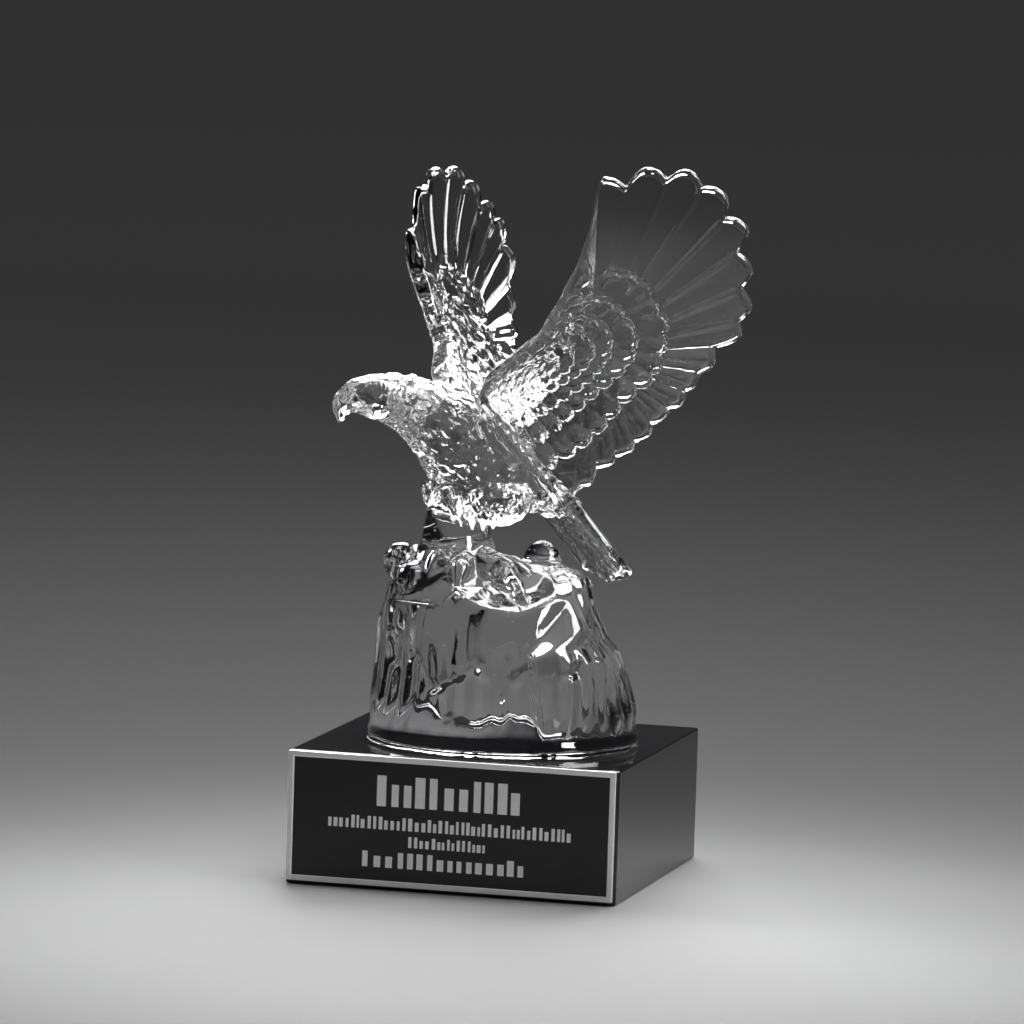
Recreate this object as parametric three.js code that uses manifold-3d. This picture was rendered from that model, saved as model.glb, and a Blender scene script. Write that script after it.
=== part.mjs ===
// Eagle award: a clear crystal eagle landing on a crag, cast in one with the crag,
// on a polished black glass block that carries a thin metal name plate.
// Millimetres, +Z up, the name plate faces -Y, the origin is under the middle of the block.

import * as THREE from 'three';
import { mergeVertices } from 'three/addons/utils/BufferGeometryUtils.js';
import Module from 'manifold-3d';

// Block
const BLOCK_WIDTH = 112;
const BLOCK_DEPTH = 112;
const BLOCK_HEIGHT = 44.5;
const BLOCK_EDGE = 0.7;

// Name plate
const PLATE_WIDTH = 110.6;
const PLATE_HEIGHT = 43;
const PLATE_THICKNESS = 1.2;
const PLATE_BORDER = 2.4;
const PLATE_FIELD_DEPTH = 0.25;
const PLATE_SHIFT_X = -0.3;
const PLATE_SHIFT_Z = 0.6;

// Seat clearance between the three pieces
const SEAT_GAP = 0.3;

// Place and heading of the bird: its middle plane stands over this point and faces the left front corner
const BIRD_X = 3;
const BIRD_HEADING = 225;
const CRYSTAL_FOOT = BLOCK_HEIGHT + SEAT_GAP;

// Body, head and beak, from beak tip to rump.
// Each row: forward and height of the upper line, forward and height of the lower line, half width.
const BEAK_TIP = [67.4, 107.6];
const BODY_ROWS = [
  [68.7, 110.0, 66.4, 108.6, 0.9],
  [69.9, 113.4, 65.4, 110.8, 1.8],
  [68.6, 117.4, 62.6, 110.9, 3.0],
  [65.5, 119.9, 60.0, 110.5, 4.4],
  [61.5, 122.0, 57.3, 109.7, 6.0],
  [57.0, 123.3, 54.0, 108.6, 6.9],
  [52.2, 123.5, 50.0, 107.2, 7.2],
  [46.8, 123.0, 46.0, 105.5, 7.8],
  [40.5, 121.8, 41.8, 102.3, 9.6],
  [33.5, 120.6, 37.2, 98.4, 12.8],
  [25.5, 118.2, 33.0, 93.6, 15.6],
  [17.5, 113.8, 29.0, 88.4, 17.0],
  [9.0, 107.6, 24.0, 82.2, 17.0],
  [1.0, 101.0, 17.5, 77.4, 16.2],
  [-6.0, 94.6, 9.0, 75.8, 14.6],
  [-12.0, 89.0, 0.5, 76.4, 13.0],
  [-17.0, 84.6, -7.0, 77.0, 12.0],
  [-21.5, 80.6, -14.5, 74.8, 11.6],
];
const BODY_SIDES = 18;
const EYE_FORWARD = 55.6;
const EYE_BELOW_CROWN = 3.2;
const EYE_SINK = 1.2;
const EYE_RADIUS = 1.7;
const EYE_SIDES = 8;

// Wings: shoulder place, how far the wing turns out behind, and how it leans outwards as it rises
const SHOULDER_FORWARD = 23.8;
const SHOULDER_SIDE = 14.6;
const SHOULDER_ABOVE_BACK = 2.2;
const WING_TOE_OUT = 30;
const WING_LEAN = 0.8;
const WING_LEAN_EASE = 0.005;
const WING_LEAN_TOP = 75;
const WING_RIM = 2.4;
const WING_BLADE = 3.4;
const WING_COVERT = 4.6;
const WING_MIDDLE = 6.4;
const ARM_WRIST = 5.2;
const ARM_SHOULDER = 11;
const ARM_OUTER_SHARE = 0.1;
const FEATHER_GROOVE = 0.45;

// Left wing: fan centre (back and up from the shoulder), and for each flight feather
// the angle and reach of its tip and of the notch after it, in the wing's own plane
const LEFT_CENTRE = [36.8, 15.0];
const LEFT_FEATHERS = [
  [87.5, 58.8, 80.7, 56.2],
  [74.0, 64.6, 68.9, 62.8],
  [63.8, 68.6, 58.8, 65.6],
  [53.2, 68.6, 48.0, 62.4],
  [42.0, 66.0, 37.0, 57.6],
  [31.3, 59.8, 25.5, 53.2],
  [19.2, 54.8, 13.9, 49.6],
  [8.6, 49.8, 3.9, 40.4],
  [-3.2, 41.2, -10.2, 37.2],
  [-16.6, 37.2, -23.0, 34.8],
  [-29.6, 36.2, -36.4, 33.6],
  [-43.2, 34.8, -49.8, 33.4],
  [-56.6, 36.8, -63.0, 36.2],
  [-69.0, 39.4, -75.0, 39.2],
  [-79.8, 42.2, -84.8, 42.4],
  [-89.0, 48.8, -94.4, 53.0],
];
// Arm edge and body side of the same wing: angle and reach
const LEFT_ARM = [
  [256, 52.5], [243, 46.5], [231, 43.5], [218, 42.5], [208, 41.0], [201, 37.0], [196, 31.5],
  [189, 26.0], [179, 21.4], [166.2, 18.0], [146, 18.0], [125.2, 19.9], [112, 24.0],
  [103.1, 28.0], [97.6, 33.8], [94.4, 38.4], [92.6, 42.0], [91.2, 48.6], [90.0, 54.4],
];

// Right wing, a little lower and turned forwards, as the bird banks
const RIGHT_CENTRE = [27.1, 9.1];
const RIGHT_FEATHERS = [
  [77.4, 52.6, 72.0, 55.6],
  [65.4, 62.8, 60.6, 63.6],
  [55.8, 68.4, 50.9, 65.6],
  [46.4, 70.2, 41.2, 66.2],
  [37.4, 71.4, 33.9, 67.6],
  [31.2, 72.0, 26.8, 65.2],
  [23.0, 66.8, 18.3, 55.0],
  [13.6, 51.8, 8.6, 44.0],
  [3.8, 42.4, -1.4, 37.4],
  [-7.0, 35.0, -13.4, 32.4],
  [-20.6, 33.8, -28.0, 31.6],
  [-36.0, 33.0, -44.0, 31.8],
  [-52.0, 35.0, -59.0, 34.6],
  [-66.0, 38.4, -72.0, 38.2],
  [-77.8, 42.0, -83.0, 42.0],
  [-88.0, 47.6, -93.6, 51.0],
];
const RIGHT_ARM = [
  [256, 49.0], [243, 42.5], [231, 38.0], [219, 34.0], [208, 30.5], [197.2, 26.6], [189, 18.8],
  [179.8, 14.2], [165, 12.2], [145, 13.0], [121, 16.0], [106.6, 23.4],
  [100.3, 29.6], [96.0, 34.8], [92.6, 37.4], [88.0, 38.0], [84.4, 40.4], [81.4, 45.8], [79.2, 50.0],
];
// Reach of the two covert rows from the fan centre, with the number of rounded lobes round the fan
const COVERT_ROWS = [
  { reach: 17.5, lobes: 15, swell: 1.6, most: 0.55 },
  { reach: 26.0, lobes: 18, swell: 2.2, most: 0.8 },
];
const COVERT_STEP = 0.7;

// Tail: straight board of fluted feathers running down and back from the rump
const TAIL_ROOT = [-12.5, 83.0];
const TAIL_END = [-40.5, 52.4];
const TAIL_ROOT_WIDTH = 26;
const TAIL_END_WIDTH = 29;
const TAIL_THICKNESS = 4.2;
const TAIL_FEATHERS = 7;
const TAIL_TIP_ROUND = 3.2;
const TAIL_RIDGE = 0.7;

// Thighs
const THIGH_FORWARD = 11;
const THIGH_SIDE = 10.5;
const THIGH_HEIGHT = 83;
const THIGH_LENGTH = 12;
const THIGH_WIDTH = 7.5;
const THIGH_DROP = 9.5;
const THIGH_SIDES = 14;
const THIGH_LEVELS = 7;

// Legs cast as one clear slab down to the crag.
// Each row: height, forward of its middle, half length, half width.
const LEG_ROWS = [
  [48, 22.0, 17.0, 13.0],
  [56, 21.8, 15.4, 11.4],
  [61, 21.4, 13.6, 10.2],
  [66, 21.0, 12.2, 9.2],
  [71, 21.4, 11.4, 8.6],
  [78, 22.2, 9.6, 8.2],
  [85, 22.6, 7.8, 8.0],
  [92, 23.0, 5.6, 7.0],
];
const LEG_SQUARENESS = 3.2;
const LEG_SIDES = 20;

// Crag. Each row: height above its foot, share of the foot's reach to the left, to the right,
// to the front and to the back.
const CRAG_X = 1.7;
const CRAG_HALF_WIDTH = 45;
const CRAG_HALF_DEPTH = 41;
const CRAG_ROWS = [
  [0.0, 1.0, 1.01, 1.0, 1.0],
  [2.6, 1.0, 1.01, 1.0, 1.0],
  [3.6, 0.98, 0.98, 0.965, 0.97],
  [12, 0.955, 0.95, 0.955, 0.955],
  [22, 0.93, 0.89, 0.945, 0.94],
  [31, 0.92, 0.81, 0.93, 0.925],
  [36, 0.915, 0.71, 0.92, 0.91],
  [41, 0.91, 0.67, 0.905, 0.895],
  [46, 0.90, 0.66, 0.885, 0.87],
  [50, 0.885, 0.65, 0.86, 0.83],
  [52, 0.86, 0.64, 0.79, 0.77],
  [55, 0.80, 0.61, 0.60, 0.60],
  [58, 0.62, 0.50, 0.40, 0.42],
  [60, 0.40, 0.32, 0.24, 0.26],
];
const CRAG_FOOT_TO_TOP = CRAG_ROWS[CRAG_ROWS.length - 1][0];
const CRAG_SIDES = 72;
// Flutes down the crag: angle from the front (positive to the right) at the foot, how far it
// drifts by the rim, depth, half width in degrees, and the height where it fades out
const CRAG_FLUTES = [
  [-72, 3, 1.8, 6, 60], [-60, 3, 2.8, 6, 47], [-49, 2, 2.2, 5, 60], [-37, -4, 0.9, 8, 40],
  [-6, 2, 1.0, 5, 36], [2, 4, 1.2, 4, 32], [25, 4, 0.8, 6, 60], [33, 6, 1.4, 5, 44],
  [43, 4, 1.8, 5, 50], [53, 2, 2.4, 6, 60], [65, -2, 2.0, 6, 46], [78, -2, 1.8, 7, 60],
  [104, 3, 2.6, 9, 60], [127, -5, 1.6, 8, 44], [147, 6, 2.8, 10, 60], [168, -4, 1.6, 9, 40],
  [188, 5, 2.6, 10, 60], [209, -6, 1.6, 8, 46], [230, 4, 2.8, 9, 60], [252, -3, 2.0, 8, 44],
];
const CRAG_FLUTE_START = 4;
const CRAG_FLUTE_FULL = 16;
const CRAG_FLUTE_FADE = 9;
const CRAG_RIM_HEIGHT = 50;
// Broken rim of the crag: angle and how far the rim drops there
const CRAG_RIM = [
  [-180, 1.5], [-155, 4.0], [-128, 0.5], [-105, 1.5], [-90, 0], [-65, 0.8], [-45, 3.0],
  [-22, -1.2], [-8, 2.2], [8, 4.2], [20, 2.2], [33, 0], [50, -0.4], [90, 0], [120, 2.4],
  [145, 3.6], [163, 0], [180, 1.5],
];
const CRAG_RIM_START = 34;
const CRAG_RIM_FULL = 49;
const CRAG_RIM_END = 54;
// Buttresses that stand proud of the wall under a slanting facet: angle where the facet starts,
// angle where it is fully high, angle of the edge at the foot, height at the start, upper and
// lower height at the high end, how proud, and the angle where it ends
const CRAG_BUTTRESSES = [
  [11, 44, 16, 32, 50, 40, 2.9, 96],
  [-148, -112, -152, 28, 47, 38, 2.6, -84],
];
const BUTTRESS_EDGE = 3;
const BUTTRESS_END = 18;
// The crag is read from the side that the plate faces, turned a little to the right
const CRAG_FRONT = -75.6;

// Round knob and lumps of the crag: forward, side, height, then half lengths and heading
const LUMPS = [
  { at: [-11, 2, 60.2], size: [6.2, 6.2, 6.4], turn: 0 },
  { at: [39, -6, 60.4], size: [6.4, 5.4, 6.4], turn: 20 },
  { at: [38.5, 1, 54.5], size: [6.0, 6.6, 6.6], turn: 10 },
];
// Toes that grip the crag: where each leaves the leg, its knuckle, the tip of its talon and its girth
const TOES = [
  { from: [24, 5, 61], knuckle: [32, 7, 65.5], to: [37, 8, 54], girth: 3.9 },
  { from: [22, 7, 60], knuckle: [29, 15, 63.5], to: [32, 20, 51], girth: 3.7 },
  { from: [17, 7, 60], knuckle: [14, 19, 63.5], to: [11, 29, 49], girth: 4.6 },
  { from: [15, 5, 60], knuckle: [5, 12, 62.5], to: [-2, 17, 52.5], girth: 3.6 },
  { from: [24, -5, 61], knuckle: [32, -8, 65.5], to: [37, -12, 55], girth: 3.8 },
  { from: [22, -7, 60], knuckle: [27, -17, 63.5], to: [29, -24, 51], girth: 3.7 },
  { from: [17, -7, 60], knuckle: [14, -19, 63.5], to: [11, -29, 49], girth: 4.2 },
  { from: [15, -5, 60], knuckle: [5, -12, 62.5], to: [-2, -17, 52.5], girth: 3.6 },
];
// Thickness along a toe as shares of its girth
const TOE_TAPER = [0.9, 1.05, 0.88, 1.0, 0.74, 0.36];
const TOE_SIDES = 6;
const LUMP_SIDES = 10;
const LUMP_LEVELS = 5;

// Materials
const CRYSTAL = new THREE.MeshStandardMaterial({
  color: 0xe6ecee,
  roughness: 0.04,
  metalness: 0,
  transparent: true,
  opacity: 0.35,
});
const BLACK_GLASS = new THREE.MeshStandardMaterial({ color: 0x0b0b0c, roughness: 0.06, metalness: 0 });
const PLATE_METAL = new THREE.MeshStandardMaterial({ color: 0xb9b6b4, roughness: 0.32, metalness: 1 });

const rad = (degrees) => degrees * Math.PI / 180;
const mix = (a, b, share) => a + (b - a) * share;
const clamp = (value, low, high) => Math.min(high, Math.max(low, value));
const ease = (share) => {
  const s = clamp(share, 0, 1);
  return s * s * (3 - 2 * s);
};

// Closed solid through rings of equal length, its ends closed to a point each
function loft(rings, startPoint, endPoint) {
  const count = rings[0].length;
  const positions = [];
  const put = (p) => positions.push(p.x, p.y, p.z);
  rings.forEach((ring) => ring.forEach(put));
  put(startPoint);
  put(endPoint);
  const start = rings.length * count;
  const end = start + 1;
  const index = [];
  for (let r = 0; r < rings.length - 1; r += 1) {
    for (let i = 0; i < count; i += 1) {
      const next = (i + 1) % count;
      const a = r * count + i;
      const b = r * count + next;
      const c = (r + 1) * count + next;
      const d = (r + 1) * count + i;
      index.push(a, b, c, a, c, d);
    }
  }
  const last = (rings.length - 1) * count;
  for (let i = 0; i < count; i += 1) {
    const next = (i + 1) % count;
    index.push(start, next, i);
    index.push(end, last + i, last + next);
  }
  const geometry = new THREE.BufferGeometry();
  geometry.setAttribute('position', new THREE.Float32BufferAttribute(positions, 3));
  geometry.setIndex(index);
  return facingOut(geometry);
}

// Turns a closed surface so that its faces look outwards
function facingOut(geometry) {
  const p = geometry.getAttribute('position');
  const index = geometry.getIndex();
  const a = new THREE.Vector3();
  const b = new THREE.Vector3();
  const c = new THREE.Vector3();
  let volume = 0;
  for (let i = 0; i < index.count; i += 3) {
    a.fromBufferAttribute(p, index.getX(i));
    b.fromBufferAttribute(p, index.getX(i + 1));
    c.fromBufferAttribute(p, index.getX(i + 2));
    volume += a.dot(b.cross(c));
  }
  if (volume < 0) {
    for (let i = 0; i < index.count; i += 3) {
      const second = index.getX(i + 1);
      index.setX(i + 1, index.getX(i + 2));
      index.setX(i + 2, second);
    }
  }
  return geometry;
}

const middleOf = (ring) => ring
  .reduce((sum, p) => sum.add(p), new THREE.Vector3())
  .divideScalar(ring.length);

// The bird's own directions
const FORWARD = new THREE.Vector3(Math.cos(rad(BIRD_HEADING)), Math.sin(rad(BIRD_HEADING)), 0);
const LEFT = new THREE.Vector3(-FORWARD.y, FORWARD.x, 0);
const UP = new THREE.Vector3(0, 0, 1);

// A point from its place ahead, to the left and above the block's top
function birdPoint(forward, left, height) {
  return new THREE.Vector3(BIRD_X, 0, BLOCK_HEIGHT)
    .addScaledVector(FORWARD, forward)
    .addScaledVector(LEFT, left)
    .addScaledVector(UP, height);
}

// Body, neck, head and beak in one run of oval rings
function bodySolid() {
  const rings = BODY_ROWS.map(([topForward, topHeight, lowForward, lowHeight, halfWidth]) => {
    const ring = [];
    for (let i = 0; i < BODY_SIDES; i += 1) {
      const turn = 2 * Math.PI * i / BODY_SIDES;
      const along = (1 + Math.cos(turn)) / 2;
      const side = halfWidth * Math.sin(turn);
      ring.push(birdPoint(mix(lowForward, topForward, along), side, mix(lowHeight, topHeight, along)));
    }
    return ring;
  });
  return loft(rings, birdPoint(BEAK_TIP[0], 0, BEAK_TIP[1]), middleOf(rings[rings.length - 1]));
}

// Height of the bird's upper line and its half width at a place ahead, read from the body rows
function bodyAt(forward) {
  const i = BODY_ROWS.findIndex((row, k) => k > 1 && row[0] <= forward);
  const share = (BODY_ROWS[i - 1][0] - forward) / (BODY_ROWS[i - 1][0] - BODY_ROWS[i][0]);
  return {
    crown: mix(BODY_ROWS[i - 1][1], BODY_ROWS[i][1], share),
    halfWidth: mix(BODY_ROWS[i - 1][4], BODY_ROWS[i][4], share),
  };
}

// Ball-like lump, longest along its own heading
function lumpSolid({ at, size, turn }, around = LUMP_SIDES, levels = LUMP_LEVELS) {
  const rings = [];
  const along = FORWARD.clone().applyAxisAngle(UP, rad(turn));
  const across = LEFT.clone().applyAxisAngle(UP, rad(turn));
  const centre = birdPoint(at[0], at[1], at[2]);
  for (let k = 1; k < levels; k += 1) {
    const rise = -Math.cos(Math.PI * k / levels);
    const reach = Math.sin(Math.PI * k / levels);
    const ring = [];
    for (let i = 0; i < around; i += 1) {
      const a = 2 * Math.PI * i / around;
      ring.push(centre.clone()
        .addScaledVector(along, size[0] * reach * Math.cos(a))
        .addScaledVector(across, size[1] * reach * Math.sin(a))
        .addScaledVector(UP, size[2] * rise));
    }
    rings.push(ring);
  }
  const low = centre.clone().addScaledVector(UP, -size[2]);
  const high = centre.clone().addScaledVector(UP, size[2]);
  return loft(rings, low, high);
}

// How far the wing leans outwards at a height above the shoulder
function leanAt(height) {
  const h = clamp(height, -WING_LEAN_TOP, WING_LEAN_TOP);
  return WING_LEAN * h - WING_LEAN_EASE * h * Math.abs(h);
}

// Outline of a wing as one list of angle, reach and the share of the feather (0 notch, 1 tip)
function wingOutline(feathers, arm) {
  const outline = [];
  feathers.forEach(([tipAngle, tipReach, notchAngle, notchReach], i) => {
    const before = i === 0 ? arm[arm.length - 1] : feathers[i - 1].slice(2);
    const rise = [mix(before[0], tipAngle, 0.5), mix(before[1], tipReach, 0.8)];
    const fall = [mix(notchAngle, tipAngle, 0.45), mix(notchReach, tipReach, 0.82)];
    outline.push({ angle: rise[0], reach: rise[1], crest: 0.75 });
    outline.push({ angle: tipAngle, reach: tipReach, crest: 1 });
    outline.push({ angle: fall[0], reach: fall[1], crest: 0.75 });
    outline.push({ angle: notchAngle, reach: notchReach, crest: 0 });
  });
  arm.forEach(([angle, reach]) => outline.push({ angle: angle > 180 ? angle - 360 : angle, reach, crest: 1 }));
  return outline.map((o) => ({ ...o, arm: armShare(o.angle) }));
}

// Thickness of the arm edge: nothing along the feathers, from the wrist it grows to the shoulder
function armShare(angle) {
  const turn = (angle + 360) % 360;
  return ease((turn - 88) / 8) * (1 - ease((turn - 250) / 14));
}

// One wing as a fan of rings about its centre: out over the outer face and back over the inner face
function wingSolid(side, centre, feathers, arm) {
  const chord = FORWARD.clone().multiplyScalar(-Math.cos(rad(WING_TOE_OUT)))
    .addScaledVector(LEFT, side * Math.sin(rad(WING_TOE_OUT)));
  const outwards = LEFT.clone().multiplyScalar(side * Math.cos(rad(WING_TOE_OUT)))
    .addScaledVector(FORWARD, Math.sin(rad(WING_TOE_OUT)));
  const shoulderHeight = bodyAt(SHOULDER_FORWARD).crown + SHOULDER_ABOVE_BACK;
  const shoulder = birdPoint(SHOULDER_FORWARD, side * SHOULDER_SIDE, shoulderHeight);
  const outline = wingOutline(feathers, arm);

  const place = (angle, reach, half) => {
    const back = centre[0] + reach * Math.cos(rad(angle));
    const rise = centre[1] + reach * Math.sin(rad(angle));
    const slope = (leanAt(rise + 0.5) - leanAt(rise - 0.5));
    const normal = outwards.clone().addScaledVector(UP, -slope).normalize();
    return shoulder.clone()
      .addScaledVector(chord, back)
      .addScaledVector(UP, rise)
      .addScaledVector(outwards, leanAt(rise))
      .addScaledVector(normal, half);
  };
  const halfThickness = (o, share) => {
    const armHalf = mix(ARM_WRIST, ARM_SHOULDER, ease(((o.angle + 360) % 360 - 100) / 90)) / 2;
    const blade = mix(WING_BLADE, WING_RIM, share * share) / 2;
    const groove = FEATHER_GROOVE * (1 - o.crest);
    const plain = blade - groove;
    return mix(plain, armHalf, o.arm * ease(share * 1.6));
  };
  const covert = (row, o) => {
    const lobe = Math.abs(Math.sin(rad(o.angle) * row.lobes / 2));
    return Math.min(row.reach + row.swell * lobe, o.reach * row.most);
  };

  const steps = [
    (o) => ({ reach: covert(COVERT_ROWS[0], o) - 0.8, half: WING_COVERT / 2 + COVERT_STEP / 2 }),
    (o) => ({ reach: covert(COVERT_ROWS[0], o), half: WING_COVERT / 2 }),
    (o) => ({ reach: covert(COVERT_ROWS[1], o) - 0.8, half: WING_BLADE / 2 + COVERT_STEP }),
    (o) => ({ reach: covert(COVERT_ROWS[1], o), half: halfThickness(o, 0.5) }),
    (o) => ({ reach: o.reach - 1.0, half: halfThickness(o, 0.96) }),
    (o) => ({ reach: o.reach, half: halfThickness(o, 1) * 0.45 }),
  ];
  const ringAt = (step, sign) => outline.map((o) => {
    const { reach, half } = step(o);
    const armHalf = Math.max(half, halfThickness(o, clamp(reach / o.reach, 0, 1)));
    const grown = (armHalf - half) * o.arm * (reach < o.reach - 2 ? 1 : 0);
    const facing = sign > 0 ? ARM_OUTER_SHARE * 2 : 2 - ARM_OUTER_SHARE * 2;
    return place(o.angle, reach, sign * (half + grown * facing));
  });
  const rings = steps.map((step) => ringAt(step, 1)).concat(steps.map((step) => ringAt(step, -1)).reverse());
  return loft(rings, place(0, 0, WING_MIDDLE / 2), place(0, 0, -WING_MIDDLE / 2));
}

// Tail board: flat rings of ridged feathers, the last ones drawn out to rounded tips
function tailSolid() {
  const along = birdPoint(TAIL_END[0], 0, TAIL_END[1]).sub(birdPoint(TAIL_ROOT[0], 0, TAIL_ROOT[1]));
  const length = along.length();
  along.normalize();
  const face = new THREE.Vector3().crossVectors(LEFT, along).normalize();
  const root = birdPoint(TAIL_ROOT[0], 0, TAIL_ROOT[1]);
  const samples = TAIL_FEATHERS * 2 + 1;
  const shares = [0, 0.3, 0.6, 0.85, 0.95, 1];
  const rings = shares.map((share) => {
    const ring = [];
    const width = mix(TAIL_ROOT_WIDTH, TAIL_END_WIDTH, share);
    const put = (i, sign) => {
      const across = -1 + 2 * i / (samples - 1);
      const crest = i % 2;
      const drawn = share > 0.9 ? TAIL_TIP_ROUND * (crest - 1) * (share - 0.9) * 10 : 0;
      const half = TAIL_THICKNESS / 2 * (1 - 0.45 * Math.abs(across)) + (crest - 0.5) * TAIL_RIDGE;
      const thin = share === 1 ? 0.35 : 1;
      ring.push(root.clone()
        .addScaledVector(along, share * length + drawn - Math.abs(across) * TAIL_TIP_ROUND * share)
        .addScaledVector(LEFT, across * width / 2)
        .addScaledVector(face, sign * half * thin));
    };
    for (let i = 0; i < samples; i += 1) put(i, 1);
    for (let i = samples - 1; i >= 0; i -= 1) put(i, -1);
    return ring;
  });
  return loft(rings, middleOf(rings[0]), middleOf(rings[rings.length - 1]));
}

// Legs and the crag under them
function legSolid() {
  const rings = LEG_ROWS.map(([height, forward, halfLength, halfWidth]) => {
    const ring = [];
    for (let i = 0; i < LEG_SIDES; i += 1) {
      const a = 2 * Math.PI * i / LEG_SIDES;
      const c = Math.cos(a);
      const s = Math.sin(a);
      const square = Math.pow(Math.abs(c) ** LEG_SQUARENESS + Math.abs(s) ** LEG_SQUARENESS, -1 / LEG_SQUARENESS);
      ring.push(birdPoint(forward + halfLength * c * square, halfWidth * s * square, height));
    }
    return ring;
  });
  return loft(rings, middleOf(rings[0]), middleOf(rings[rings.length - 1]));
}

// Toe as a bent taper round a curve from the leg over its knuckle
function toeSolid({ from, knuckle, to, girth }) {
  const path = new THREE.QuadraticBezierCurve3(birdPoint(...from), birdPoint(...knuckle), birdPoint(...to));
  const steps = TOE_TAPER.length;
  const rings = TOE_TAPER.map((thickness, k) => {
    const radius = girth * thickness;
    const share = k / (steps - 0.5);
    const middle = path.getPoint(share);
    const along = path.getTangent(share);
    const side = new THREE.Vector3().crossVectors(along, UP).normalize();
    const rise = new THREE.Vector3().crossVectors(side, along);
    const ring = [];
    for (let i = 0; i < TOE_SIDES; i += 1) {
      const a = 2 * Math.PI * i / TOE_SIDES;
      ring.push(middle.clone()
        .addScaledVector(side, radius * Math.cos(a))
        .addScaledVector(rise, radius * Math.sin(a)));
    }
    return ring;
  });
  return loft(rings, path.getPoint(0), path.getPoint(1));
}

const turnedFrom = (angle, middle) => ((angle - middle + 540) % 360) - 180;

// Depth of the crag's flutes at an angle from its front and a height
function fluteDepth(angle, height) {
  const grown = ease((height - CRAG_FLUTE_START) / (CRAG_FLUTE_FULL - CRAG_FLUTE_START));
  let depth = 0;
  CRAG_FLUTES.forEach(([at, drift, deep, wide, top]) => {
    const apart = Math.abs(turnedFrom(angle, at + drift * height / CRAG_RIM_HEIGHT)) / wide;
    const kept = 1 - ease((height - top + CRAG_FLUTE_FADE) / CRAG_FLUTE_FADE);
    depth += deep * kept * (1 + Math.cos(Math.PI * Math.min(apart, 1))) / 2;
  });
  return depth * grown;
}

// How far the buttresses stand proud at an angle and a height
function buttressHeight(angle, height) {
  let proud = 0;
  CRAG_BUTTRESSES.forEach(([start, full, foot, low, high, under, most, end]) => {
    const along = clamp(turnedFrom(angle, start) / (full - start), 0, 1);
    const upper = mix(low, high, along);
    const lower = mix(low - 1, under, along);
    const edge = mix(start, foot, clamp(1 - height / low, 0, 1));
    const inside = Math.abs(turnedFrom(angle, (start + end) / 2)) < 90 ? 1 : 0;
    proud += inside * most
      * clamp((upper - height) / (upper - lower), 0, 1)
      * ease(turnedFrom(angle, edge) / BUTTRESS_EDGE)
      * (1 - ease(turnedFrom(angle, end - BUTTRESS_END) / BUTTRESS_END))
      * ease(height / CRAG_FLUTE_FULL);
  });
  return proud;
}

// Drop of the crag's broken rim at an angle from its front and a height
function rimDrop(angle, height) {
  const i = Math.max(1, CRAG_RIM.findIndex(([at]) => at >= angle));
  const [before, after] = [CRAG_RIM[i - 1], CRAG_RIM[i]];
  const drop = mix(before[1], after[1], (angle - before[0]) / (after[0] - before[0]));
  const grown = ease((height - CRAG_RIM_START) / (CRAG_RIM_FULL - CRAG_RIM_START));
  const kept = 1 - ease((height - CRAG_RIM_END) / (CRAG_FOOT_TO_TOP - CRAG_RIM_END));
  return drop * grown * kept;
}

function cragSolid() {
  const rings = CRAG_ROWS.map(([height, toLeft, toRight, toFront, toBack]) => {
    const ring = [];
    for (let i = 0; i < CRAG_SIDES; i += 1) {
      const angle = 360 * i / CRAG_SIDES - 180;
      const sine = Math.sin(rad(angle));
      const cosine = Math.cos(rad(angle));
      const sideShare = sine > 0 ? toRight : toLeft;
      const depthShare = cosine > 0 ? toFront : toBack;
      const relief = fluteDepth(angle, height) - buttressHeight(angle, height);
      const deep = relief * Math.min(sideShare, depthShare);
      const right = CRAG_HALF_WIDTH * sideShare * sine - deep * sine;
      const front = CRAG_HALF_DEPTH * depthShare * cosine - deep * cosine;
      const turn = rad(CRAG_FRONT);
      ring.push(new THREE.Vector3(
        CRAG_X + front * Math.cos(turn) - right * Math.sin(turn),
        front * Math.sin(turn) + right * Math.cos(turn),
        CRYSTAL_FOOT + height - rimDrop(angle, height),
      ));
    }
    return ring;
  });
  return loft(rings, middleOf(rings[0]), middleOf(rings[rings.length - 1]));
}

// Joins closed surfaces into one
const wasm = await Module();
wasm.setup();

function toSolid(geometry) {
  const bare = new THREE.BufferGeometry();
  bare.setAttribute('position', geometry.getAttribute('position').clone());
  bare.setIndex(geometry.getIndex() ? geometry.getIndex().clone() : null);
  const merged = mergeVertices(bare, 1e-4);
  return new wasm.Manifold(new wasm.Mesh({
    numProp: 3,
    vertProperties: new Float32Array(merged.getAttribute('position').array),
    triVerts: new Uint32Array(merged.getIndex().array),
  }));
}

function toGeometry(solid) {
  const mesh = solid.getMesh();
  const geometry = new THREE.BufferGeometry();
  geometry.setAttribute('position', new THREE.Float32BufferAttribute(mesh.vertProperties, 3));
  geometry.setIndex(Array.from(mesh.triVerts));
  return geometry;
}

// One solid from overlapping ones, with the pockets that are shut in between them filled
function joined(geometries) {
  const whole = geometries.map(toSolid).reduce((sum, solid) => sum.add(solid));
  const shells = whole.decompose().filter((shell) => shell.volume() > 0);
  return toGeometry(shells.reduce((sum, shell) => sum.add(shell)));
}

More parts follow.
